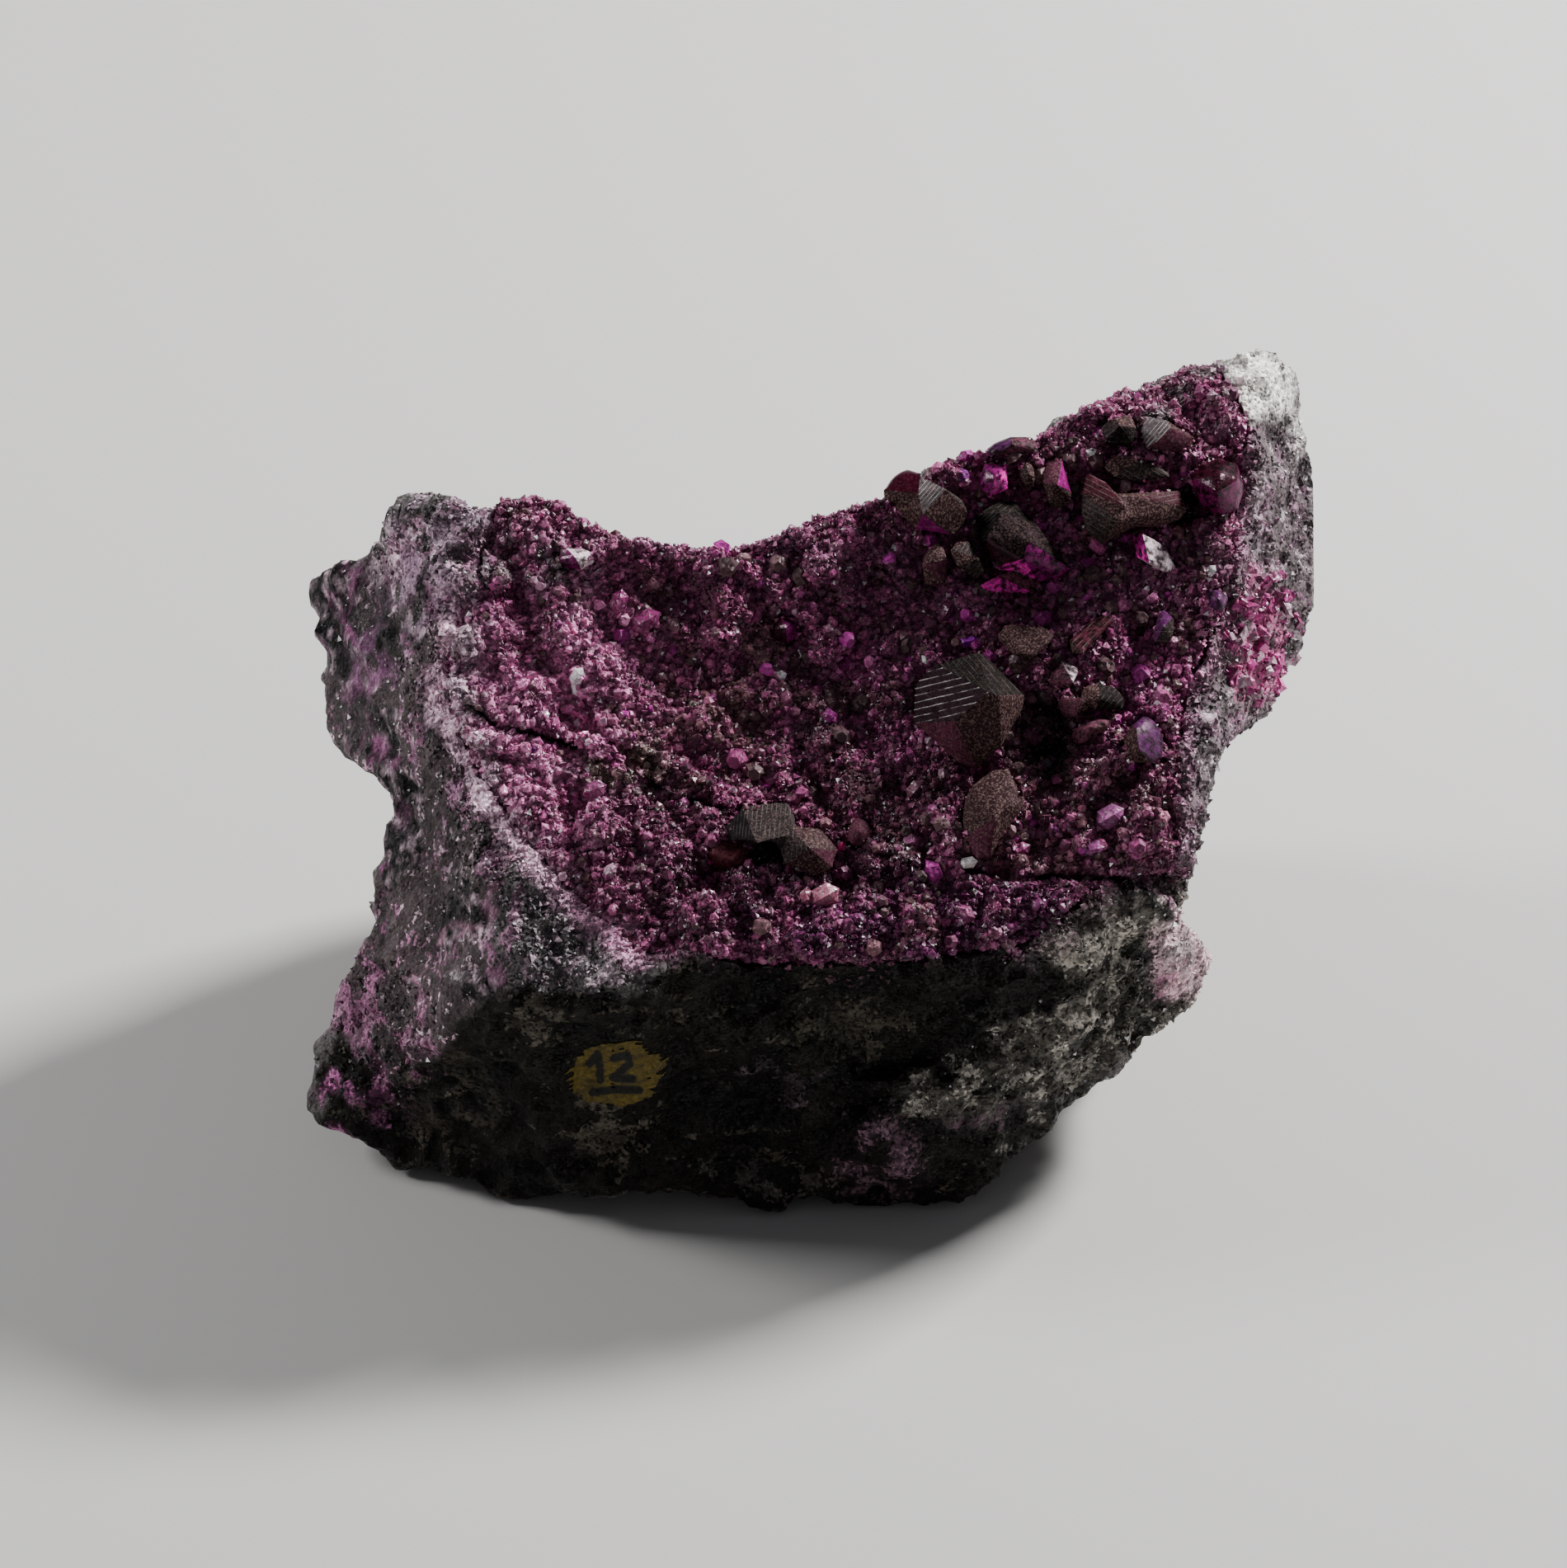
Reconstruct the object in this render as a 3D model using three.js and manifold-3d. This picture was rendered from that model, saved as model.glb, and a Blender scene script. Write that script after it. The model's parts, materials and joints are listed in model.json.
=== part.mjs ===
// A kammererite specimen: a broken block of dark chromite ore with a shallow pocket in its
// upper face, the pocket's sugary purple crust, and the larger crystals that stand out of it.
// Millimetres. +X is to the right, +Y away from the viewer and +Z up. The block rests on z = 0.

import * as THREE from 'three';
import { ConvexGeometry } from 'three/addons/geometries/ConvexGeometry.js';
import { mergeVertices } from 'three/addons/utils/BufferGeometryUtils.js';
import Module from 'manifold-3d';

const wasm = await Module();
wasm.setup();

// Driving dimensions
const LOOK_DOWN_DEG = 38; // the specimen's best side is seen from this far above the horizon
const LOOK_DISTANCE = 1100; // from this far away
const LOOK_CENTRE = [-2.4, 41.6]; // and towards this point of the picture plane
const CRUST_THICKNESS = 3;
const CRUST_SPAN = { across: [-42, 46], up: [18, 90] }; // of the picture plane, crust and more
const ROOT_DEPTH = 1.8; // of the larger crystals in the crust
const ROOT_SHRINK = 0.25; // share of the way to a crystal's middle that its roots draw in
const GAP = 0.3; // between neighbouring pieces
const SOCKET_REACH = 1.6 * GAP; // past a crystal's corners, so that its faces keep the gap
const GRID_ACROSS = 38; // cells of the block's seen side, left to right
const GRID_DOWN = 23; // and top to bottom
const SKIRT_RINGS = [0.04, 0.12, 0.22, 0.36, 0.6]; // shares of the way to its back
const CRUST_BED_GRID = [11, 10]; // cells of the crust's underside
const FREE_SPACE = 60; // in front of and behind the picture plane, more than any front reaches
const SLAB_SIDE = 200; // of the slabs that cut the hidden faces, more than the block's size
const SLAB_CELLS = 30;
const MERGE_DISTANCE = 1e-4; // corners closer than this are one

// Outlines, as [across, up] in the picture plane
// The plane passes through the front foot of the block, square to the line of sight.
const TOP_RIM = [
  [-48.4, 61], [-43.2, 63.8], [-40, 66.6], [-36.4, 69.1], [-32.8, 68.2], [-27.2, 69.4],
  [-23.2, 68.5], [-21.3, 66.2], [-17.6, 65.4], [-10.4, 64.2], [-5.6, 64.5], [-1.6, 66.2],
  [4, 68.5], [10.5, 69.8], [11.6, 72], [16.4, 73.6], [22, 75], [26.4, 77.6], [29.6, 79.2],
  [33.6, 80.4], [38.4, 82.2], [42.8, 83.6], [45.2, 83.9],
];
const RIGHT_SIDE = [
  [45.2, 83.9], [46.6, 82.8], [47.8, 80.4], [48.3, 76.8], [48.8, 72.8], [49, 68],
  [49, 62.4], [48.8, 59.6], [48, 57.6], [47.8, 54.8], [46, 52.8], [45.2, 50], [44, 48.4],
  [42, 46.8], [40, 44.8], [38.8, 42.8], [38.6, 38.8], [37.6, 36], [37.4, 32.8],
  [36.6, 30], [35.8, 28.6], [37.6, 27.6], [38.5, 26], [38.7, 22.4], [37.8, 20.8],
];
const FOOT = [
  [-47.5, 10.8], [-46.4, 9.4], [-43.2, 7.6], [-39.2, 4.8], [-34.8, 4], [-32, 2.4],
  [-29.6, 0.9], [-22.4, 1.5], [-11.2, 2.3], [-6, 1.2], [-2.4, 0], [4.8, 0.2], [12, 1.2],
  [16, 2.4], [20, 5.8], [24.8, 9.6], [28, 12.8], [32, 16.4], [35.2, 18.6], [37.8, 20.8],
];
const LEFT_SIDE = [
  [-48.4, 61], [-47.6, 58.4], [-47.2, 55.2], [-46.6, 51.2], [-46, 48], [-45.4, 45.2],
  [-43.4, 43.4], [-41.6, 42.8], [-40.2, 41.2], [-39.8, 38.8], [-40.8, 34.8],
  [-42.2, 32], [-42.2, 28.8], [-43.2, 24.8], [-45.4, 21.6], [-46.2, 17.6],
  [-47.2, 13.2], [-47.5, 10.8],
];
// The crust reaches past the block along the top rim, so that it ends with the rim.
const CRUST_OUTLINE = [
  [-29.5, 72], [-30.5, 66], [-32, 62], [-33.5, 58.5], [-34.6, 54], [-34.4, 50],
  [-32.6, 45], [-31, 41.5], [-28.6, 38.2], [-24, 32.6], [-19.4, 28], [-16.8, 25.3],
  [-11, 25.8], [-6, 24.6], [2, 24.4], [10, 24.8], [18, 25.8], [22, 27], [26, 30.4],
  [30, 33], [35.2, 33.4], [35.4, 38], [35.4, 44], [36.6, 51.5], [39.6, 57.6],
  [41, 63], [41.6, 70], [42.4, 76], [41, 80], [36, 84], [20, 80], [0, 74], [-15, 70],
];

// The broken faces that make the front, each as how near it is to the viewer at the picture
// plane's origin, and how much nearer it gets with each millimetre across and up. The face under
// the brow stands nearer by a step to the left of a line.
const FRONT_FACES = [
  { name: 'pocket wall', near: 25.9, across: -0.1, up: -0.3 },
  { name: 'face under the brow', near: 0.5, across: -0.08, up: 0.738, step: 3.7, leftOf: -14 },
  { name: 'lower left face', near: 15.1, across: 0.58, up: 1.11 },
  { name: 'lower right face', near: 11.6, across: -0.833, up: 0.858 },
  { name: 'left flank', near: 70, across: 1.56, up: -0.06 },
  { name: 'right flank', near: 71.7, across: -1.625, up: -0.03 },
];
// Shallow hollows in those faces: where, half width and half height, and how deep. A negative
// depth makes a swelling.
const HOLLOWS = [
  { name: 'pocket', at: [-2, 48], half: [34, 21], deep: 4.5 },
  { name: 'upper pocket', at: [24, 60], half: [18, 18], deep: 2 },
  { name: 'deep pit', at: [22.5, 47], half: [4.5, 6], deep: 2.6 },
  { name: 'under the brow', at: [7, 18], half: [17, 8], deep: 3.5 },
  { name: 'left waist', at: [-37, 36], half: [8, 14], deep: 2.5 },
  { name: 'left shoulder', at: [-40, 54], half: [8, 9], deep: -1.5 },
  { name: 'lower left', at: [-35, 9], half: [10, 7], deep: 1.6 },
  { name: 'lower right', at: [22, 14], half: [9, 7], deep: 1.2 },
  { name: 'right waist', at: [41, 50], half: [6, 9], deep: 1.4 },
  { name: 'pale lump', at: [36, 24.6], half: [3.6, 4.4], deep: -2.6 },
];
// The step left of a line blends in over this distance to each side, and between these heights.
const STEP_BLEND = 2;
const STEP_HEIGHTS = [4, 19];
// Below each ledge's line the face stands nearer by a step, which rises over the first range of
// distances from the line and fades out again over the second. It also tapers over a share of the
// line's length at each end.
const LEDGE_RISE = [-0.6, 1];
const LEDGE_FADE = [5, 13];
const LEDGE_ENDS = [-0.05, 0.12];
const LEDGES = [
  { name: 'long ledge', from: [33.8, 28.6], to: [1.4, 9.8], step: 1.8 },
  { name: 'low ledge', from: [36.4, 20.2], to: [11.8, 12.4], step: 1.3 },
  { name: 'left ledge', from: [-20, 19], to: [-44, 14], step: -1.4 },
];
// The fissure below the pocket's right end, as an outline that tapers to nothing on the left
const FISSURE = [
  [15.4, 33.1], [20, 32.3], [25, 32.5], [30, 33.2], [33.2, 31.6], [35.2, 29], [37.4, 30.4],
  [36.4, 33.2], [33.4, 34], [30, 34.1], [25, 33.3], [20, 33.1],
];
const FISSURE_DEPTH = 3;

// The larger crystals, each as the corners that show: across, up, and how far the corner stands
// out of the crust's even surface. Hulls of one crystal have grown into each other.
const CRYSTALS = [
  {
    name: 'crystal_rim_pair',
    habit: 'frosted',
    hulls: [
      [
        [7.2, 70.2, 2.2], [8.1, 71.5, 2], [9.6, 72.4, 2], [10.9, 71.8, 3], [11.4, 70.9, 3.6],
        [10.7, 69.8, 4], [9.6, 68.4, 3.4], [7.3, 69.2, 2.2],
      ],
      [
        [10.7, 69.8, 4], [11.4, 71.2, 3], [13.4, 70.2, 4.6], [15.2, 69.2, 3], [15.6, 67.9, 2.4],
        [15.3, 66.7, 1.6], [14.1, 65.6, 1.8], [12.3, 66.2, 3], [11.1, 67.7, 4.6],
        [10.3, 66.3, 1.4], [8.1, 68.4, 1.4],
      ],
    ],
  },
  {
    name: 'crystal_blade',
    habit: 'wine',
    hulls: [
      [
        [16.2, 67.7, 2], [18.4, 69, 1.4], [19.8, 69.3, 1], [22.3, 66.7, 2.6], [25.6, 62.4, 1.6],
        [24.8, 61.3, 1], [22.3, 61.2, 1], [17.8, 62.6, 2.4], [16.6, 64.4, 3], [18.8, 68, 4],
        [21.3, 65.2, 5], [17.2, 65.4, 4.6], [20.9, 63.4, 4.4],
      ],
      [
        [16.6, 60.9, 1.6], [18.3, 61.8, 2.6], [19.6, 62.2, 2.4], [21.4, 62.6, 2], [22.6, 60.9, 1],
        [22.1, 60, 0.8], [18.3, 60.2, 1.4], [16.9, 60.4, 1.2],
      ],
    ],
  },
  {
    name: 'crystal_kite',
    habit: 'frosted',
    hulls: [
      [
        [13.7, 64.3, 3.2], [14.3, 65.1, 2.2], [15.6, 65.2, 2.8], [16.7, 63.5, 4.2],
        [17.3, 62.2, 4], [16.3, 61.4, 3], [14.4, 62.7, 3.8],
      ],
    ],
  },
  {
    name: 'crystal_shield',
    habit: 'frosted',
    hulls: [
      [
        [10.9, 62.9, 2.2], [11.3, 64.2, 1.8], [12.3, 65.1, 1.6], [13.1, 65, 1.8], [13.6, 63.4, 3],
        [13.4, 60.9, 2.6], [12.8, 60.4, 2.2], [11.3, 60.9, 1.8],
      ],
    ],
  },
  {
    name: 'crystal_clear_rhomb',
    habit: 'magenta',
    hulls: [
      [
        [16.4, 70.3, 1.6], [16.9, 72.9, 1.6], [19.3, 72.6, 1.4], [19.4, 70.2, 1.8],
        [17.6, 69.3, 2], [18.2, 71.6, 3.2],
      ],
    ],
  },
  {
    name: 'crystal_left_of_split',
    habit: 'frosted',
    hulls: [
      [
        [20.3, 70.9, 1.8], [20.4, 72.3, 1.6], [21.1, 73, 1.4], [22, 72.8, 2], [22.1, 70.6, 3],
        [21.1, 69.9, 2], [21.3, 71.9, 3.2],
      ],
    ],
  },
  {
    name: 'crystal_right_of_split',
    habit: 'frosted',
    hulls: [
      [
        [22.5, 70.9, 2.6], [22.8, 72.7, 2], [23.8, 73.3, 1.6], [24.7, 73.2, 1.8],
        [25.6, 69.9, 2.4], [25.5, 68.9, 2], [24.3, 68, 1.8], [23.3, 68.5, 2.4], [24.2, 70.6, 4],
      ],
    ],
  },
  {
    name: 'crystal_rim_lump',
    habit: 'violet',
    hulls: [
      [
        [16.9, 73.7, 1.4], [17.8, 74.7, 1], [19.6, 75.3, 1], [21.6, 75.4, 1], [22.7, 74.4, 1.4],
        [22.3, 73.7, 1.8], [17.8, 73.3, 1.8], [19.8, 74.6, 2.8],
      ],
    ],
  },
  {
    name: 'crystal_dark_hex',
    habit: 'frosted',
    hulls: [
      [
        [27.9, 76, 1.4], [29.6, 77.5, 1.6], [31.5, 77.5, 1.6], [31.9, 76.2, 2.6], [31.9, 74, 2.4],
        [29.8, 74.4, 2.4], [28.8, 75, 3], [30.2, 76.4, 4],
      ],
    ],
  },
  {
    name: 'crystal_bright_striped',
    habit: 'frosted',
    hulls: [
      [
        [32.2, 76, 3], [32.9, 77.3, 2.2], [34.8, 76.9, 2.4], [37.6, 75.2, 2], [37.3, 74, 1.8],
        [35.6, 73.5, 2.2], [32.8, 74.2, 2.6], [35.2, 76.2, 4.2], [33.8, 74.8, 4.4],
      ],
    ],
  },
  {
    name: 'crystal_flat_plate',
    habit: 'frosted',
    hulls: [
      [
        [28.1, 72.4, 1.8], [29.8, 73.8, 1.6], [32.3, 73.3, 2.2], [34.6, 72.3, 2.4],
        [35.6, 71.3, 2.2], [32.3, 70.9, 2.4], [29.6, 71.3, 2.2],
      ],
    ],
  },
  {
    name: 'crystal_stepped_big',
    habit: 'frosted',
    hulls: [
      [
        [26.4, 69.9, 3], [26.9, 72.1, 2], [28.8, 71, 3.4], [30.8, 68.6, 6], [30.1, 67.2, 6.2],
        [31.6, 66.4, 3.6], [28.3, 64.7, 1.6], [27.1, 65.7, 2.4], [26.4, 67.7, 3.6],
      ],
      [
        [29.8, 69.8, 4], [31.8, 69.4, 4.6], [36.1, 70.1, 2], [37, 68.4, 2], [36.1, 67.2, 2],
        [33.6, 66.3, 2], [31.2, 66.6, 3.4], [30.4, 67.4, 5.2],
      ],
    ],
  },
  {
    name: 'crystal_wine_hexagon',
    habit: 'wine',
    hulls: [
      [
        [36.9, 71.7, 1.6], [38.3, 73, 1.4], [39.8, 73.4, 1.4], [41.6, 72.8, 1.4],
        [42.6, 70.2, 1.4], [41.8, 68.2, 1.4], [40.3, 67.3, 1.4], [38.6, 67.9, 1.6],
        [37.3, 69.4, 1.8], [37.6, 71.2, 3], [39.8, 71.8, 4.8], [41.7, 71.1, 3.2],
        [39.7, 69.9, 4.8],
      ],
    ],
  },
  {
    name: 'crystal_two_tone',
    habit: 'magenta',
    hulls: [
      [
        [31.4, 65.9, 1.6], [32.4, 65.9, 3.6], [34.1, 65, 2.4], [35.4, 63.7, 1.6],
        [35.8, 62.4, 1.2], [34.8, 61.8, 1.4], [33.1, 63, 3.6], [31.7, 63.7, 1.6],
      ],
    ],
  },
  {
    name: 'crystal_violet_point',
    habit: 'violet',
    hulls: [
      [
        [38.5, 60.4, 1.2], [39.8, 60.6, 1.2], [41, 59.8, 1.2], [40.3, 58, 1.2], [39, 58.4, 1.2],
        [39.8, 59.6, 2.6],
      ],
    ],
  },
  {
    name: 'crystal_three_faced',
    habit: 'frosted',
    hulls: [
      [
        [10.1, 47.5, 2], [10.3, 51.3, 1.6], [12.2, 53.3, 1.6], [16.7, 54.8, 3], [21.1, 50.2, 3],
        [21.1, 49, 3], [18.8, 45.1, 2], [16.5, 42.9, 1.2], [14.7, 43.5, 1.6], [13.3, 44.9, 2.2],
        [14.2, 47.7, 6.6], [17.5, 50.5, 7.6], [18.5, 50.2, 7.2],
      ],
    ],
  },
  {
    name: 'crystal_polygon',
    habit: 'frosted',
    hulls: [
      [
        [17.9, 56, 2.4], [19.2, 57.3, 2], [23.4, 56.8, 2.2], [24.3, 56, 2.4], [21.9, 53.6, 3.6],
        [19.7, 54, 3.6],
      ],
    ],
  },
  {
    name: 'crystal_white_triangle',
    habit: 'violet',
    hulls: [
      [
        [23.3, 52.4, 2], [24.5, 53.6, 2], [26.6, 53, 2.6], [25.8, 51.4, 3.2], [25.3, 50.9, 2.4],
        [24.2, 50.7, 2], [23.3, 51.3, 1.8],
      ],
    ],
  },
  {
    name: 'crystal_double_hex',
    habit: 'frosted',
    hulls: [
      [
        [23.9, 49.9, 2.2], [25.4, 50.2, 2.8], [26.6, 49.8, 3.4], [27.4, 48.9, 3.2],
        [25.9, 47.9, 2.4], [24.5, 47.9, 2],
      ],
      [
        [26.5, 51.2, 2.4], [28.1, 51.4, 2.4], [29.9, 51.1, 2.2], [30.9, 49.9, 2], [30.8, 48.7, 2],
        [27.8, 48.7, 2.6], [26.3, 49.6, 3], [28.3, 50, 4.2],
      ],
    ],
  },
  {
    name: 'crystal_rosy_lump',
    habit: 'violet',
    hulls: [
      [
        [25.2, 46.2, 2.4], [25.9, 47.2, 2.6], [28.1, 48, 3], [29.5, 47.9, 2.6], [29.5, 47.2, 2.4],
        [27.4, 46, 2.4], [25.9, 45.1, 2], [27.4, 47.1, 4],
      ],
    ],
  },
  {
    name: 'crystal_parallel_blades',
    habit: 'violet',
    hulls: [
      [
        [25.3, 54, 2.4], [25.3, 55.6, 2.2], [27.4, 57.6, 2], [29.3, 58.4, 2], [30.1, 57.8, 2.4],
        [26.7, 54.2, 3.4],
      ],
      [
        [27.2, 53.2, 3], [30.3, 57, 3], [30.7, 55.3, 2.4], [29.2, 53.4, 2.2], [27.7, 52.8, 2.2],
      ],
    ],
  },
  {
    name: 'crystal_small_point',
    habit: 'frosted',
    hulls: [
      [
        [33.4, 56.2, 1.8], [33.8, 58.1, 1.4], [34.5, 58.8, 1.2], [35.4, 57.8, 1.6],
        [35.6, 55.8, 1.6], [34.7, 54.9, 1.4], [33.6, 55.3, 1.6], [34.5, 56.9, 3.2],
      ],
    ],
  },
  {
    name: 'crystal_violet_split',
    habit: 'violet',
    hulls: [
      [
        [30.3, 46, 2], [31.4, 47.4, 2.4], [32.6, 48.5, 2], [33.8, 47.8, 1.8], [34.7, 46, 1.6],
        [34.5, 43.8, 1.4], [33.4, 43.5, 1.6], [30.8, 43.5, 1.6], [31.8, 47, 4.2],
        [32.1, 44.9, 4.2],
      ],
    ],
  },
  {
    name: 'crystal_two_blades',
    habit: 'frosted',
    hulls: [
      [
        [14.7, 38.3, 1.8], [15.1, 40.5, 2], [15.9, 41.8, 2], [17.7, 43, 2.2], [19.5, 43.2, 2],
        [20.8, 41, 2.4], [18.2, 38.4, 3.6], [17.6, 34.2, 1.6], [16.3, 33.9, 1.4], [15, 36.3, 1.6],
      ],
      [
        [21.1, 40.4, 2.2], [20.9, 39.2, 2], [18.6, 36.3, 1.6], [18, 36.9, 2], [19.2, 39.6, 3.8],
      ],
    ],
  },
  {
    name: 'crystal_three_lobes',
    habit: 'frosted',
    hulls: [
      [
        [-8.2, 37.5, 1.8], [-6.5, 39.5, 1.6], [-2, 39.9, 1.6], [-1, 38.5, 2], [-1.5, 36.7, 3.2],
        [-5, 35.8, 3.6], [-7.5, 36, 2.8],
      ],
      [
        [-3.4, 36.4, 2.6], [-2, 37.6, 2.8], [1.2, 37.3, 2], [3, 35.2, 1.6], [2.5, 33.4, 1.2],
        [0.5, 32.6, 1.2], [-2.3, 33.8, 2], [0.2, 35.4, 3.6],
      ],
      [
        [-10, 35, 1.4], [-8.6, 36.2, 1.8], [-6.2, 35.9, 2.6], [-5.5, 34, 1.8], [-7, 32.9, 1.2],
        [-9.2, 33.3, 1.2],
      ],
    ],
  },
  {
    name: 'crystal_low_lump',
    habit: 'frosted',
    hulls: [
      [
        [3.6, 36.9, 1.4], [4.3, 38.5, 1.4], [5.8, 38.2, 1.4], [6.4, 36.6, 1.4], [5.2, 35.3, 1.2],
        [4, 35.6, 1.4], [4.9, 37, 2.8],
      ],
    ],
  },
  {
    name: 'crystal_wine_pair',
    habit: 'wine',
    hulls: [
      [
        [-4, 56.5, 1.2], [-2.8, 57.9, 1.2], [-1, 57.6, 1.2], [-0.6, 56, 1.2], [-2, 55.1, 1.2],
        [-3.5, 55.4, 1.2], [-2.2, 56.8, 2.6],
      ],
    ],
  },
  {
    name: 'crystal_pink_white',
    habit: 'magenta',
    hulls: [
      [
        [-24.9, 63.3, 1.2], [-23.5, 64.6, 1.2], [-21, 64.4, 1.2], [-20.4, 63, 1.2],
        [-22, 62.3, 1.2], [-24, 62.4, 1.2], [-22.6, 63.6, 2.8],
      ],
    ],
  },
];
// The small crystals that are one with the crust: each stands up to SMALL_SHIFT from the place
// that an even spread would give it, and leans by up to SMALL_LEAN.
const SMALL_SPACING = 10.5;
const SMALL_ROW_SPACING = 9.1;
const SMALL_SHIFT = 2;
const SMALL_LEAN = 0.9; // radians
const SMALL_RADIUS = [1.4, 2.6];
const SMALL_CLEARANCE = 0.3; // of its radius, to the nearest larger crystal
const SMALL_STAND = 0.1; // of its radius, of its middle above the even surface
const SMALL_TIP = { half: 0.35, high: 0.95 }; // of its radius, the short edge that is its tip
const RIM_MARGIN = 1.2; // that the small crystals keep from the top rim
// How far the surfaces depart from even ones
const ROUGHNESS = [
  { height: 0.9, size: 9 },
  { height: 0.5, size: 4 },
  { height: 0.3, size: 2 },
];
const FRONT_ROUGHNESS = 0.8; // share of that on the seen side, where facets come on top
const FACET_SIZE = 1.1;
const CRUST_RELIEF = 2.4;
const ROCK_RELIEF = 1;
const HIDDEN_RELIEF = 1.6;
const SKIRT_RELIEF = 1.3;
const SKIRT_ONSET = 0.1; // share of the way to the back over which it grows in from the rim
const BASE_HOLLOWS = 1.2;
const BASE_FLATNESS = 0.3; // more leaves more of the base flat

// The hidden broken faces: which way each looks round the line of sight (0 to the right, 90 up),
// how far it leans away from the viewer, and how far it lies beyond all that the viewer sees.
const HEART = new THREE.Vector3(0, 27, 24);
const BLOCK_DEPTH = 90; // before the hidden faces cut it
const HIDDEN_FACES = [
  { name: 'back', turn: 92, lean: 52, beyond: 1.5 },
  { name: 'back right', turn: 58, lean: 44, beyond: 2 },
  { name: 'back left', turn: 128, lean: 44, beyond: 2 },
  { name: 'top right', turn: 70, lean: 27, beyond: 0.5 },
  { name: 'top left', turn: 114, lean: 24, beyond: 0.5 },
  { name: 'upper right', turn: 30, lean: 24, beyond: 0.5 },
  { name: 'right', turn: -4, lean: 20, beyond: 0.3 },
  { name: 'far right', turn: 12, lean: 52, beyond: 6 },
  { name: 'lower right', turn: -34, lean: 14, beyond: 0.3 },
  { name: 'low right', turn: -60, lean: 8, beyond: 0.3 },
  { name: 'under back', turn: -84, lean: 54, beyond: 15 },
  { name: 'under left', turn: -140, lean: 50, beyond: 15 },
  { name: 'low left', turn: -126, lean: 10, beyond: 0.3 },
  { name: 'lower left', turn: -152, lean: 16, beyond: 0.4 },
  { name: 'left', turn: 178, lean: 22, beyond: 0.5 },
  { name: 'far left', turn: 176, lean: 54, beyond: 6 },
  { name: 'upper left', turn: 148, lean: 26, beyond: 0.5 },
];
const TAPER = 0.003; // how fast the outline shrinks behind its rim, per millimetre

// Picture plane to the block's own frame
const lookDown = THREE.MathUtils.degToRad(LOOK_DOWN_DEG);
const RIGHT = new THREE.Vector3(1, 0, 0);
const UP = new THREE.Vector3(0, Math.sin(lookDown), Math.cos(lookDown));
const NEAR = new THREE.Vector3(0, -Math.cos(lookDown), Math.sin(lookDown));

function combine(across, up, near) {
  return new THREE.Vector3()
    .addScaledVector(RIGHT, across)
    .addScaledVector(UP, up)
    .addScaledVector(NEAR, near);
}

// The point that is seen at [across, up] of the picture plane and lies `near` in front of it.
function seenAt(across, up, near) {
  const spread = 1 - near / LOOK_DISTANCE;
  return combine(
    LOOK_CENTRE[0] + (across - LOOK_CENTRE[0]) * spread,
    LOOK_CENTRE[1] + (up - LOOK_CENTRE[1]) * spread,
    near,
  );
}

// Repeatable noise from -1 to 1 that changes smoothly over one unit
function cornerValue(x, y, z) {
  let h = Math.imul(x, 73856093) ^ Math.imul(y, 19349663) ^ Math.imul(z, 83492791);
  h = Math.imul(h ^ (h >>> 15), 2246822519);
  h = Math.imul(h ^ (h >>> 13), 3266489917);
  return ((h ^ (h >>> 16)) >>> 0) / 2147483648 - 1;
}

function noise(point, size) {
  const scaled = point.clone().divideScalar(size);
  const base = scaled.clone().floor();
  const part = scaled.sub(base);
  const ease = (t) => t * t * (3 - 2 * t);
  const [u, v, w] = [ease(part.x), ease(part.y), ease(part.z)];
  const mix = THREE.MathUtils.lerp;
  const at = (i, j, k) => cornerValue(base.x + i, base.y + j, base.z + k);
  const side = (k) => mix(mix(at(0, 0, k), at(1, 0, k), u), mix(at(0, 1, k), at(1, 1, k), u), v);
  return mix(side(0), side(1), w);
}

function roughness(point) {
  return ROUGHNESS.reduce((sum, { height, size }) => sum + height * noise(point, size), 0);
}

// Repeatable random numbers from 0 to 1
function randomStream(seed) {
  let state = seed;
  return () => {
    state = (state + 0x6d2b79f5) | 0;
    let t = Math.imul(state ^ (state >>> 15), 1 | state);
    t = (t + Math.imul(t ^ (t >>> 7), 61 | t)) ^ t;
    return ((t ^ (t >>> 14)) >>> 0) / 4294967296;
  };
}

// Whether a point of the picture plane lies inside an outline
function isInside(outline, x, y) {
  let odd = false;
  outline.forEach((a, i) => {
    const b = outline.at(i - 1);
    const crosses = a[1] > y !== b[1] > y;
    if (crosses && x < ((b[0] - a[0]) * (y - a[1])) / (b[1] - a[1]) + a[0]) odd = !odd;
  });
  return odd;
}

const { smoothstep } = THREE.MathUtils;

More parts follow.
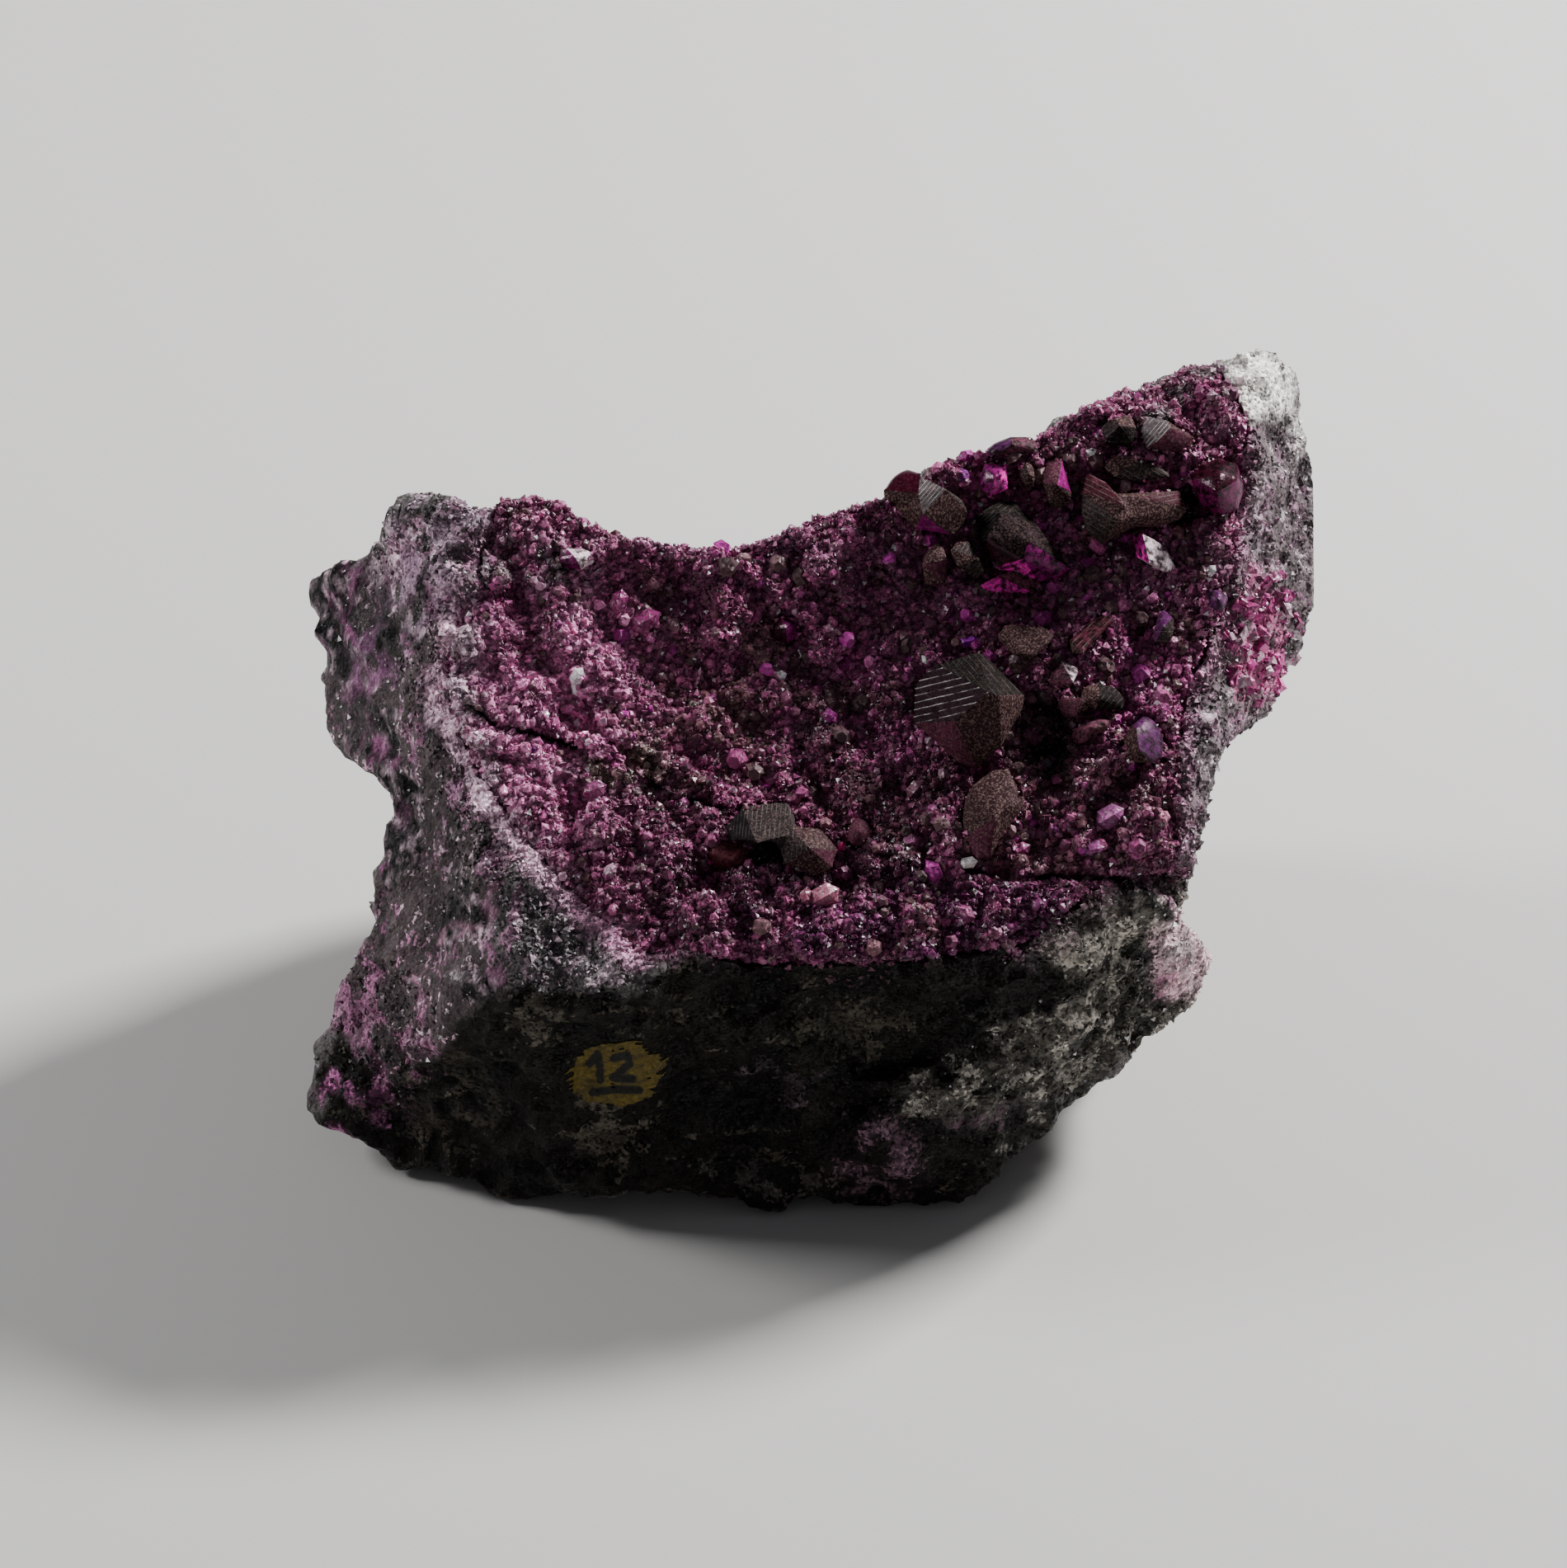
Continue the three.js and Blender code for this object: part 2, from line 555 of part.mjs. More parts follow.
// How near to the viewer the front is, where it is seen at [across, up].
function frontNear(across, up) {
  const faces = FRONT_FACES.map((f) => {
    const left = f.step ? smoothstep(f.leftOf - across, -STEP_BLEND, STEP_BLEND) : 0;
    const high = smoothstep(up, ...STEP_HEIGHTS);
    return f.near + f.across * across + f.up * up + left * high * (f.step ?? 0);
  });
  const hollows = HOLLOWS.map(({ at, half, deep }) => {
    const away = ((across - at[0]) / half[0]) ** 2 + ((up - at[1]) / half[1]) ** 2;
    return away < 1 ? deep * (1 - away) ** 2 : 0;
  });
  const ledges = LEDGES.map(({ from, to, step }) => {
    const run = [to[0] - from[0], to[1] - from[1]];
    const length = Math.hypot(...run);
    const off = [across - from[0], up - from[1]];
    const along = (off[0] * run[0] + off[1] * run[1]) / length ** 2;
    const below = (off[1] * run[0] - off[0] * run[1]) / length;
    const inside = smoothstep(0.5 - Math.abs(along - 0.5), ...LEDGE_ENDS);
    const rise = smoothstep(below, ...LEDGE_RISE);
    return step * inside * rise * (1 - smoothstep(below, ...LEDGE_FADE));
  });
  const sum = (values) => values.reduce((a, b) => a + b);
  return Math.min(...faces) - sum(hollows) + sum(ledges);
}

// Solids and geometries
function toSolid(geometry) {
  const bare = geometry.clone();
  bare.deleteAttribute('normal');
  bare.deleteAttribute('uv');
  const merged = mergeVertices(bare, MERGE_DISTANCE);
  const mesh = new wasm.Mesh({
    numProp: 3,
    vertProperties: merged.attributes.position.array,
    triVerts: new Uint32Array(merged.index.array),
  });
  return new wasm.Manifold(mesh);
}

function toGeometry(solid) {
  const mesh = solid.getMesh();
  const geometry = new THREE.BufferGeometry();
  geometry.setAttribute('position', new THREE.BufferAttribute(mesh.vertProperties, 3));
  geometry.setIndex(new THREE.BufferAttribute(mesh.triVerts, 1));
  return geometry;
}

// The closed surface over a grid of cells: the front sheet and a back sheet, joined by a skirt
// whose rings are each given by the share of the way from the front edge to the back edge.
function sheetsGeometry(cellsAcross, cellsDown, rings, point) {
  const positions = [];
  const indices = [];
  const place = (p) => positions.push(...p.toArray()) / 3 - 1;
  const sheet = (depth) => {
    const rows = [];
    for (let j = 0; j <= cellsDown; j++) {
      const row = [];
      for (let i = 0; i <= cellsAcross; i++) {
        row.push(place(point(i / cellsAcross, j / cellsDown, depth)));
      }
      rows.push(row);
    }
    return rows;
  };
  const front = sheet(0);
  const back = sheet(1);
  for (let j = 0; j < cellsDown; j++) {
    for (let i = 0; i < cellsAcross; i++) {
      const corners = (rows) => [rows[j][i], rows[j + 1][i], rows[j + 1][i + 1], rows[j][i + 1]];
      const [a, b, c, d] = corners(front);
      indices.push(a, b, c, a, c, d);
      const [e, f, g, h] = corners(back);
      indices.push(e, g, f, e, h, g);
    }
  }

  // Once round the edge, counter-clockwise for the viewer
  const edge = [];
  for (let j = 0; j < cellsDown; j++) edge.push([0, j]);
  for (let i = 0; i < cellsAcross; i++) edge.push([i, cellsDown]);
  for (let j = cellsDown; j > 0; j--) edge.push([cellsAcross, j]);
  for (let i = cellsAcross; i > 0; i--) edge.push([i, 0]);
  const inner = rings.map((depth) =>
    edge.map(([i, j]) => place(point(i / cellsAcross, j / cellsDown, depth))),
  );
  const loops = [edge.map(([i, j]) => front[j][i]), ...inner, edge.map(([i, j]) => back[j][i])];
  for (let k = 0; k + 1 < loops.length; k++) {
    for (let n = 0; n < edge.length; n++) {
      const next = (n + 1) % edge.length;
      const [a, b] = [loops[k][n], loops[k][next]];
      const [c, d] = [loops[k + 1][n], loops[k + 1][next]];
      indices.push(a, c, b, b, c, d);
    }
  }
  const geometry = new THREE.BufferGeometry();
  geometry.setAttribute('position', new THREE.Float32BufferAttribute(positions, 3));
  geometry.setIndex(indices);
  return geometry;
}

// The picture plane's outline as a patch: share s across and share t down
const asPath = (points) => new THREE.Path(points.map((p) => new THREE.Vector2(...p)));
const [topRim, rightSide, foot, leftSide] = [TOP_RIM, RIGHT_SIDE, FOOT, LEFT_SIDE].map(asPath);

function inOutline(s, t) {
  return new THREE.Vector2()
    .addScaledVector(topRim.getPointAt(s), 1 - t)
    .addScaledVector(foot.getPointAt(s), t)
    .addScaledVector(leftSide.getPointAt(t), 1 - s)
    .addScaledVector(rightSide.getPointAt(t), s)
    .addScaledVector(topRim.getPointAt(0), -(1 - s) * (1 - t))
    .addScaledVector(topRim.getPointAt(1), -s * (1 - t))
    .addScaledVector(foot.getPointAt(0), -(1 - s) * t)
    .addScaledVector(foot.getPointAt(1), -s * t);
}

// A big slab whose rough inner face stands `at` from the block's heart and cuts all beyond it.
function beyondFace(out, at, relief) {
  const [side, cells] = [SLAB_SIDE, SLAB_CELLS];
  const geometry = new THREE.BoxGeometry(side, side, side / 2, cells, cells, 1);
  const turn = new THREE.Quaternion().setFromUnitVectors(new THREE.Vector3(0, 0, -1), out);
  const position = geometry.attributes.position;
  for (let i = 0; i < position.count; i++) {
    const p = new THREE.Vector3().fromBufferAttribute(position, i);
    const inner = p.z > 0;
    p.z = inner ? -at : -at - side / 2;
    p.applyQuaternion(turn).add(HEART);
    if (inner) p.addScaledVector(out, relief(p));
    position.setXYZ(i, p.x, p.y, p.z);
  }
  return toSolid(geometry);
}

// The block before its crust is let in
function blockSolid() {
  function surface(s, t, depth) {
    const { x, y } = inOutline(s, t);
    const near = frontNear(x, y);
    const front = seenAt(x, y, near);
    const facets = isInside(CRUST_OUTLINE, x, y) ? CRUST_RELIEF : ROCK_RELIEF;
    const relief = FRONT_ROUGHNESS * roughness(front) + facets * noise(front, FACET_SIZE);
    if (depth === 0) return front.addScaledVector(NEAR, relief);
    const behind = BLOCK_DEPTH * depth;
    const even = seenAt(x, y, near - behind);
    const inward = SKIRT_RELIEF * (1 + roughness(even)) * Math.min(1, depth / SKIRT_ONSET);
    const reach = Math.hypot(x - LOOK_CENTRE[0], y - LOOK_CENTRE[1]);
    const shrink = 1 - TAPER * behind - inward / reach;
    return seenAt(
      LOOK_CENTRE[0] + (x - LOOK_CENTRE[0]) * shrink,
      LOOK_CENTRE[1] + (y - LOOK_CENTRE[1]) * shrink,
      near - behind,
    );
  }

  const outer = sheetsGeometry(GRID_ACROSS, GRID_DOWN, SKIRT_RINGS, surface);
  const seen = outer.attributes.position;
  let solid = toSolid(outer);
  for (const { turn, lean, beyond } of HIDDEN_FACES) {
    const [round, away] = [turn, lean].map(THREE.MathUtils.degToRad);
    const facing = combine(
      Math.cos(round) * Math.cos(away),
      Math.sin(round) * Math.cos(away),
      -Math.sin(away),
    );
    let reach = 0;
    for (let i = 0; i < (GRID_ACROSS + 1) * (GRID_DOWN + 1); i++) {
      const p = new THREE.Vector3().fromBufferAttribute(seen, i);
      reach = Math.max(reach, p.sub(HEART).dot(facing));
    }
    const relief = (p) => Math.max(-beyond, HIDDEN_RELIEF * roughness(p));
    solid = solid.subtract(beyondFace(facing, reach + beyond, relief));
  }
  const down = new THREE.Vector3(0, 0, -1);
  const hollow = (p) => Math.min(0, BASE_HOLLOWS * roughness(p) + BASE_FLATNESS);
  return solid.subtract(beyondFace(down, HEART.z, hollow));
}

// The room in front of a face that lies `depth` behind the block's even surface, inside an outline
function roomInFront(outline, depth) {
  const slab = sheetsGeometry(...CRUST_BED_GRID, [], (s, t, back) => {
    const across = THREE.MathUtils.lerp(...CRUST_SPAN.across, s);
    const up = THREE.MathUtils.lerp(...CRUST_SPAN.up, 1 - t);
    return seenAt(across, up, back ? frontNear(across, up) - depth : FREE_SPACE);
  });
  return toSolid(slab).intersect(prism(outline, -FREE_SPACE, FREE_SPACE));
}

// The solid that an outline of the picture plane sweeps along the line of sight
function prism(outline, from, to) {
  const shape = new THREE.Shape(outline.map((p) => new THREE.Vector2(...p)));
  const geometry = new THREE.ExtrudeGeometry(shape, { depth: to - from, bevelEnabled: false });
  const position = geometry.attributes.position;
  for (let i = 0; i < position.count; i++) {
    const p = new THREE.Vector3().fromBufferAttribute(position, i);
    position.setXYZ(i, ...seenAt(p.x, p.y, p.z + from).toArray());
  }
  return toSolid(geometry);
}

// An outline moved outward, where its corners run clockwise or counter-clockwise as given
function grown(outline, by) {
  const points = outline.map((p) => new THREE.Vector2(...p));
  const turn = THREE.ShapeUtils.isClockWise(points) ? -1 : 1;
  return points.map((p, i) => {
    const next = points[(i + 1) % points.length];
    const last = points.at(i - 1);
    const along = next.clone().sub(last).normalize();
    return [p.x + turn * along.y * by, p.y - turn * along.x * by];
  });
}

// A larger crystal's hull, or the slightly larger socket that it stands in
function crystalHull(corners, inflate) {
  const tops = corners.map(([across, up, stand]) =>
    seenAt(across, up, frontNear(across, up) + stand),
  );
  const centre = corners.reduce((sum, c) => [sum[0] + c[0], sum[1] + c[1]], [0, 0]);
  const middle = centre.map((v) => v / corners.length);
  const roots = corners.map(([across, up]) => {
    const [x, y] = [across, up].map((v, i) => THREE.MathUtils.lerp(v, middle[i], ROOT_SHRINK));
    return seenAt(x, y, frontNear(x, y) - ROOT_DEPTH);
  });
  const points = [...tops, ...roots];
  const heart = points.reduce((sum, p) => sum.add(p), new THREE.Vector3());
  heart.divideScalar(points.length);
  const moved = points.map((p) => {
    const out = p.clone().sub(heart);
    return heart.clone().addScaledVector(out, 1 + inflate / out.length());
  });
  return toSolid(new ConvexGeometry(moved));
}

const joinAll = (solids) => solids.reduce((a, b) => a.add(b));
const largestPart = (solid) =>
  solid.decompose().reduce((a, b) => (b.volume() > a.volume() ? b : a));

// The small crystals of the crust: six-sided, each with a short edge for a tip
function smallCrystal(centre, radius, lean) {
  const { half, high } = SMALL_TIP;
  const tips = [[-half, 0, high], [half, 0, high], [0, 0, -1]];
  const belt = [0, 1, 2, 3, 4, 5].map((k) => [
    Math.cos((k * Math.PI) / 3),
    Math.sin((k * Math.PI) / 3),
    0,
  ]);
  const corners = [...tips, ...belt].map((p) =>
    new THREE.Vector3(...p).multiplyScalar(radius).applyEuler(lean).add(centre),
  );
  return toSolid(new ConvexGeometry(corners));
}

// The small crystals, wherever the crust has no larger one
function smallCrystals(taken) {
  const random = randomStream(7);
  const between = (low, high) => low + (high - low) * random();
  const around = (size) => between(-size, size);
  const solids = [];
  for (let row = CRUST_SPAN.up[0]; row < CRUST_SPAN.up[1]; row += SMALL_ROW_SPACING) {
    for (let place = CRUST_SPAN.across[0]; place < CRUST_SPAN.across[1]; place += SMALL_SPACING) {
      const at = new THREE.Vector2(place + around(SMALL_SHIFT), row + around(SMALL_SHIFT));
      const radius = between(...SMALL_RADIUS);
      const lean = new THREE.Euler(around(SMALL_LEAN), around(SMALL_LEAN), around(Math.PI));
      const clearance = SMALL_CLEARANCE * radius;
      const clear = taken.every((c) => at.distanceTo(c.middle) > c.radius + clearance);
      if (!isInside(CRUST_OUTLINE, at.x, at.y) || !clear || !underRim(at, RIM_MARGIN)) continue;
      const centre = seenAt(at.x, at.y, frontNear(at.x, at.y) + SMALL_STAND * radius);
      solids.push(smallCrystal(centre, radius, lean));
    }
  }
  return joinAll(solids);
}

// Whether a point of the picture plane lies at least `by` below the top rim
function underRim(at, by) {
  const next = TOP_RIM.findIndex((p) => p[0] > at.x);
  if (next < 1) return false;
  const [a, b] = [TOP_RIM[next - 1], TOP_RIM[next]];
  return at.y + by < THREE.MathUtils.mapLinear(at.x, a[0], b[0], a[1], b[1]);
}

// The pieces: each crystal yields to the sockets of those before it, then the crust and the rock
const block = blockSolid();
const sockets = [];
const crystals = CRYSTALS.map(({ name, habit, hulls }) => {
  let solid = joinAll(hulls.map((corners) => crystalHull(corners, 0)));
  for (const socket of sockets) solid = solid.subtract(socket);
  sockets.push(joinAll(hulls.map((corners) => crystalHull(corners, SOCKET_REACH))));
  return { name, habit, solid: largestPart(solid) };
});
const allSockets = joinAll(sockets);
const taken = CRYSTALS.flatMap(({ hulls }) =>
  hulls.map((corners) => {
    const box = new THREE.Box2().setFromPoints(corners.map((c) => new THREE.Vector2(c[0], c[1])));
    const size = box.getSize(new THREE.Vector2());
    return { middle: box.getCenter(new THREE.Vector2()), radius: (size.x + size.y) / 4 };
  }),
);
const crustRoom = roomInFront(CRUST_OUTLINE, CRUST_THICKNESS);
const rockRoom = roomInFront(grown(CRUST_OUTLINE, GAP), CRUST_THICKNESS + GAP);
const bareCrust = block.add(smallCrystals(taken)).intersect(crustRoom);
const crust = largestPart(bareCrust.subtract(allSockets));
const fissure = roomInFront(FISSURE, FISSURE_DEPTH);
const rock = largestPart(block.subtract(rockRoom).subtract(fissure).subtract(allSockets));

// Materials and meshes
const looks = {
  rock: { color: 0x3a3733, roughness: 0.9 },
  crust: { color: 0x6d2f63, roughness: 0.55 },
  frosted: { color: 0x6e5a55, roughness: 0.6 },
  wine: { color: 0x4a0f2c, roughness: 0.2 },
  magenta: { color: 0xb03a90, roughness: 0.2 },
  violet: { color: 0x7a4a90, roughness: 0.3 },
};
const pieces = [
  { name: 'host_rock', habit: 'rock', solid: rock },
  { name: 'druse_crust', habit: 'crust', solid: crust },
  ...crystals,
];
const specimen = new THREE.Group();
for (const { name, habit, solid } of pieces) {
  const material = new THREE.MeshStandardMaterial({ ...looks[habit], metalness: 0 });
  const mesh = new THREE.Mesh(toGeometry(solid), material);
  mesh.name = name;
  specimen.add(mesh);
}

// The origin is under the middle of the specimen, on the surface that it rests on.
const middle = new THREE.Box3().setFromObject(specimen).getCenter(new THREE.Vector3());
specimen.position.set(-middle.x, -middle.y, 0);

export default specimen;
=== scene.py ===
"""Looks for a kammererite specimen: dark chromite ore with a pocket of purple crystals.

Lengths are in millimetres unless a name says otherwise, and meshes are written in metres. A place
is [across, up] on the picture plane, as the viewer sees it. Colours are linear.
"""
import itertools
import json
import math

import bmesh
import bpy
import numpy as np
from mathutils import Matrix, Vector
from mathutils.kdtree import KDTree


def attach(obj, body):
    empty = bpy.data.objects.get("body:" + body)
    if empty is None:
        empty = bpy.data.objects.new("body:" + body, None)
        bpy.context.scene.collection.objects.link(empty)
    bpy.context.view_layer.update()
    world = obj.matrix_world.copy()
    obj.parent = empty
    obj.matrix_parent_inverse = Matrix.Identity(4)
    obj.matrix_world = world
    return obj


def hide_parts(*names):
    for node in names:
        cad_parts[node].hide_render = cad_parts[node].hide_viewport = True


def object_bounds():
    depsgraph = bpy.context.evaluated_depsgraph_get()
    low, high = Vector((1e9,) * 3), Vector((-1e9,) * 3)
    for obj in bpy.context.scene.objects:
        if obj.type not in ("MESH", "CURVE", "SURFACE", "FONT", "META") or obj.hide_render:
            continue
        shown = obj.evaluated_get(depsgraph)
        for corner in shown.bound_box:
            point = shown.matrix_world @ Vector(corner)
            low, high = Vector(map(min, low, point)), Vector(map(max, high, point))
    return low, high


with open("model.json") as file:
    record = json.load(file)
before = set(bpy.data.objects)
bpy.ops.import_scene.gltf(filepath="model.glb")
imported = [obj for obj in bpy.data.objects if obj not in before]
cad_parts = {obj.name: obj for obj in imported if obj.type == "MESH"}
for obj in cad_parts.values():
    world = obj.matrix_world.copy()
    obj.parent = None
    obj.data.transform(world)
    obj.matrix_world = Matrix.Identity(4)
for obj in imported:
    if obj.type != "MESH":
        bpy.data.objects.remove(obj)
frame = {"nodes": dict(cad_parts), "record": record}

CAD_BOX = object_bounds()
MM = 0.001
BOX_LOW, BOX_HIGH = np.array(CAD_BOX) / MM
TINY = 1e-9

# How the specimen is looked at, as in the part's source
LOOK_DOWN = math.radians(38)
LOOK_DISTANCE = 1100
LOOK_CENTRE = (-2.4, 41.6)
PLANE_ORIGIN = np.array([0.3404, 27.1598, 0.0])
RIGHT = np.array([1.0, 0.0, 0.0])
UP = np.array([0.0, math.sin(LOOK_DOWN), math.cos(LOOK_DOWN)])
NEAR = np.array([0.0, -math.cos(LOOK_DOWN), math.sin(LOOK_DOWN)])
PLANE = np.stack([RIGHT, UP], 1)
VIEW_WIDTH = 152.0
SENSOR = 36.0
CLIP_METRES = (0.01, 20)

# The floor, the sky's light, and each light's place and size in metres and its power in watts
FLOOR_SIZE = 4.0
FLOOR_GAP = 0.0001
FLOOR_TONE = (0.62, 0.61, 0.59)
FLOOR_ROUGHNESS = 0.85
SKY_TONE = (0.9, 0.93, 1.0)
SKY_STRENGTH = 0.12
LIGHTS = {
    "key": ((0.46, 0.36, 0.46), (0.16, 0.12), 12.5),
    "left": ((-0.62, 0.1, 0.4), (0.2, 0.2), 3.6),
}
LIGHT_AIM = (0, 0, 0.03)


# Picture plane

def plane_of(points):
    """The places of points, as the viewer sees them."""
    moved = points + PLANE_ORIGIN
    spread = 1 - moved @ NEAR / LOOK_DISTANCE
    return LOOK_CENTRE + (moved @ PLANE - LOOK_CENTRE) / spread[:, None]


def smoothstep(value, low, high):
    t = np.clip((value - low) / (high - low), 0, 1)
    return t * t * (3 - 2 * t)


def lengths(vectors):
    return np.linalg.norm(vectors, axis=1)


def ellipse(places, at, half, soft=0.35):
    """1 inside an ellipse and 0 outside, with a soft edge."""
    return 1 - smoothstep(lengths((places - at) / half), 1 - soft, 1 + soft)


def from_route(places, route):
    """How far each place is from a route of straight lines."""
    nearest = np.full(len(places), np.inf)
    for a, b in zip(route, route[1:]):
        a, b = np.array(a, float), np.array(b, float)
        along = np.clip(((places - a) @ (b - a)) / ((b - a) @ (b - a)), 0, 1)
        nearest = np.minimum(nearest, lengths(places - a - along[:, None] * (b - a)))
    return nearest


def line_share(places, route, half, soft=0.5):
    """1 within half of a route of points and 0 away from it."""
    return 1 - smoothstep(from_route(places, route), half * (1 - soft), half * (1 + soft))


def polygon(places, outline, soft):
    """1 inside an outline and 0 outside, over a soft edge."""
    across, up = places.T
    closed = outline + outline[:1]
    inside = np.zeros(len(places), bool)
    for (ax, ay), (bx, by) in zip(closed, closed[1:]):
        if ay != by:
            left = across < (bx - ax) * (up - ay) / (by - ay) + ax
            inside ^= left & ((ay > up) != (by > up))
    away = from_route(places, closed)
    return smoothstep(np.where(inside, away, -away), -soft, soft)


def strongest(places, outlines, ellipses):
    """The greatest share that any of these outlines and ellipses gives to each place."""
    shares = [share * polygon(places, outline, soft) for outline, soft, share in outlines]
    shares += [share * ellipse(places, at, half) for at, half, share in ellipses]
    return np.maximum.reduce(shares)


# Repeatable noise, where the seed names the pattern

def hashed(cells, seed):
    """A number from 0 to 1 for each whole-number cell."""
    c = cells.astype(np.int64).astype(np.uint64)
    h = c[..., 0] * np.uint64(0x9E3779B97F4A7C15)
    h ^= c[..., 1] * np.uint64(0xC2B2AE3D27D4EB4F)
    h ^= c[..., 2] * np.uint64(0x165667B19E3779F9)
    h ^= np.uint64(seed * 0x27D4EB2F165667C5 % 2**64)
    h ^= h >> np.uint64(29)
    h *= np.uint64(0xBF58476D1CE4E5B9)
    h ^= h >> np.uint64(32)
    return (h >> np.uint64(11)).astype(float) / 2.0**53


def hashes(cells, seed):
    """Three numbers from 0 to 1 for each cell."""
    return np.stack([hashed(cells, seed + k) for k in range(3)], 1)


def noise(points, size, seed=0):
    """Smooth noise from -1 to 1 that changes over `size`."""
    scaled = points / size
    base = np.floor(scaled)
    part = scaled - base
    ease = part * part * (3 - 2 * part)
    total = np.zeros(len(points))
    for corner in range(8):
        step = np.array([corner & 1, corner >> 1 & 1, corner >> 2 & 1])
        weight = np.where(step, ease, 1 - ease).prod(1)
        total += weight * hashed(base + step, seed)
    return total * 2 - 1


def patchy(points, size, seed, low, high):
    """Irregular patches: 1 in them and 0 between them."""
    value = noise(points, size, seed) + 0.5 * noise(points, size / 2.3, seed + 1)
    value += 0.3 * noise(points, size / 5, seed + 2)
    return smoothstep(value, low, high)


def ragged(points, seed, reach=1.0):
    """The points moved about, so that the edge of a coat wanders."""
    moves = []
    for first in (seed, seed + 10, seed + 20):
        waves = [(1.3, 5, first), (0.8, 1.9, first + 3), (0.5, 0.8, first + 6)]
        moves.append(sum(height * noise(points, size, own_seed) for height, size, own_seed in waves))
    return points + reach * np.stack(moves, 1)


def cells_around(points, size):
    """The points in units of a cell, and the 27 cells around each of them."""
    scaled = points / size
    base = np.floor(scaled)
    return scaled, (base + step for step in itertools.product((-1, 0, 1), repeat=3))


def chips(points, size, seed):
    """Broken faces that meet in ridges, from about -size / 3 to size / 3."""
    scaled, around = cells_around(points, size)
    lowest = np.full(len(points), np.inf)
    for cell in around:
        away = scaled - cell - hashes(cell, seed + 1)
        slope = hashes(cell, seed + 5) - 0.5
        lowest = np.minimum(lowest, (away * slope).sum(1) + 0.6 * (away * away).sum(1))
    return (lowest - 0.05) * size


def lumps(points, size, seed):
    """Rounded lumps, from 0 between them to 1 on top, each of a height of its own."""
    scaled, around = cells_around(points, size)
    nearest = np.full(len(points), np.inf)
    second = nearest
    number = np.zeros(len(points))
    for cell in around:
        away = lengths(scaled - (cell + hashes(cell, seed + 1)))
        closer = away < nearest
        second = np.where(closer, nearest, np.minimum(second, away))
        nearest = np.where(closer, away, nearest)
        number = np.where(closer, hashed(cell, seed + 4), number)
    return (0.6 + 0.4 * number) * smoothstep(second - nearest, 0, 0.55)


# Meshes

def make_mesh(name, points, faces):
    mesh = bpy.data.meshes.new(name)
    mesh.vertices.add(len(points))
    mesh.vertices.foreach_set("co", (points * MM).ravel())
    mesh.loops.add(faces.size)
    mesh.loops.foreach_set("vertex_index", faces.ravel().astype(np.int32))
    mesh.polygons.add(len(faces))
    mesh.polygons.foreach_set("loop_start", np.arange(0, faces.size, faces.shape[1], dtype=np.int32))
    mesh.update(calc_edges=True)
    mesh.shade_flat()
    return mesh


def add_object(name, mesh, material, slot):
    mesh.validate()
    obj = bpy.data.objects.new(name, mesh)
    bpy.context.scene.collection.objects.link(obj)
    obj.data.materials.append(material)
    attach(obj, "root")
    return obj


def add_colour(mesh, name, colours, domain="POINT"):
    rgba = np.ones((len(colours), 4), np.float32)
    rgba[:, :3] = colours
    attribute = mesh.attributes.new(name, "FLOAT_COLOR", domain)
    attribute.data.foreach_set("color", rgba.ravel())


def add_value(mesh, name, values, domain="POINT"):
    attribute = mesh.attributes.new(name, "FLOAT", domain)
    attribute.data.foreach_set("value", np.asarray(values, np.float32))


def welded(node):
    """A bmesh of a CAD node with its corners joined."""
    bm = bmesh.new()
    bm.from_mesh(frame["nodes"][node].data)
    bmesh.ops.remove_doubles(bm, verts=bm.verts, dist=1e-6)
    bmesh.ops.recalc_face_normals(bm, faces=bm.faces)
    return bm


def remeshed(node, voxel, grow=0.0):
    """Points and four-sided faces of an even net over a CAD node, grown outwards."""
    bm = welded(node)
    bm.normal_update()
    for vert in bm.verts:
        vert.co += vert.normal * grow * MM
    coarse = bpy.data.meshes.new("coarse")
    bm.to_mesh(coarse)
    bm.free()
    obj = bpy.data.objects.new("coarse", coarse)
    bpy.context.scene.collection.objects.link(obj)
    modifier = obj.modifiers.new("Net", "REMESH")
    modifier.mode = "VOXEL"
    modifier.voxel_size = voxel * MM
    fine = bpy.data.meshes.new_from_object(obj.evaluated_get(bpy.context.evaluated_depsgraph_get()))
    points = np.zeros(len(fine.vertices) * 3, np.float32)
    fine.vertices.foreach_get("co", points)
    faces = np.zeros(len(fine.loops), np.int32)
    fine.loops.foreach_get("vertex_index", faces)
    bpy.data.objects.remove(obj)
    bpy.data.meshes.remove(coarse)
    bpy.data.meshes.remove(fine)
    return points.reshape(-1, 3).astype(float) / MM, faces.reshape(-1, 4)


def face_normals(points, faces):
    """Normals of three- or four-sided faces, with the faces' areas for their lengths."""
    a, b, c, d = (points[faces[:, k]] for k in (0, 1, 2, -1))
    return 0.5 * np.cross(c - a, d - b)


def point_normals(points, faces):
    normal = face_normals(points, faces)
    total = np.zeros_like(points)
    for column, axis in itertools.product(faces.T, range(3)):
        total[:, axis] += np.bincount(column, normal[:, axis], len(points))
    return total / np.maximum(lengths(total), TINY)[:, None]


def kept_in_box(points):
    return np.clip(points, BOX_LOW, BOX_HIGH)


class Surface:
    """A net of points and faces, with each face's middle, area and normal, and how it faces the viewer."""

    def __init__(self, points, faces):
        self.points = points
        self.faces = faces
        self.centres = points[faces].mean(1)
        normals = face_normals(points, faces)
        self.area = np.maximum(lengths(normals), TINY)
        self.normals = normals / self.area[:, None]
        self.facing = (normals @ NEAR) / self.area


# Materials

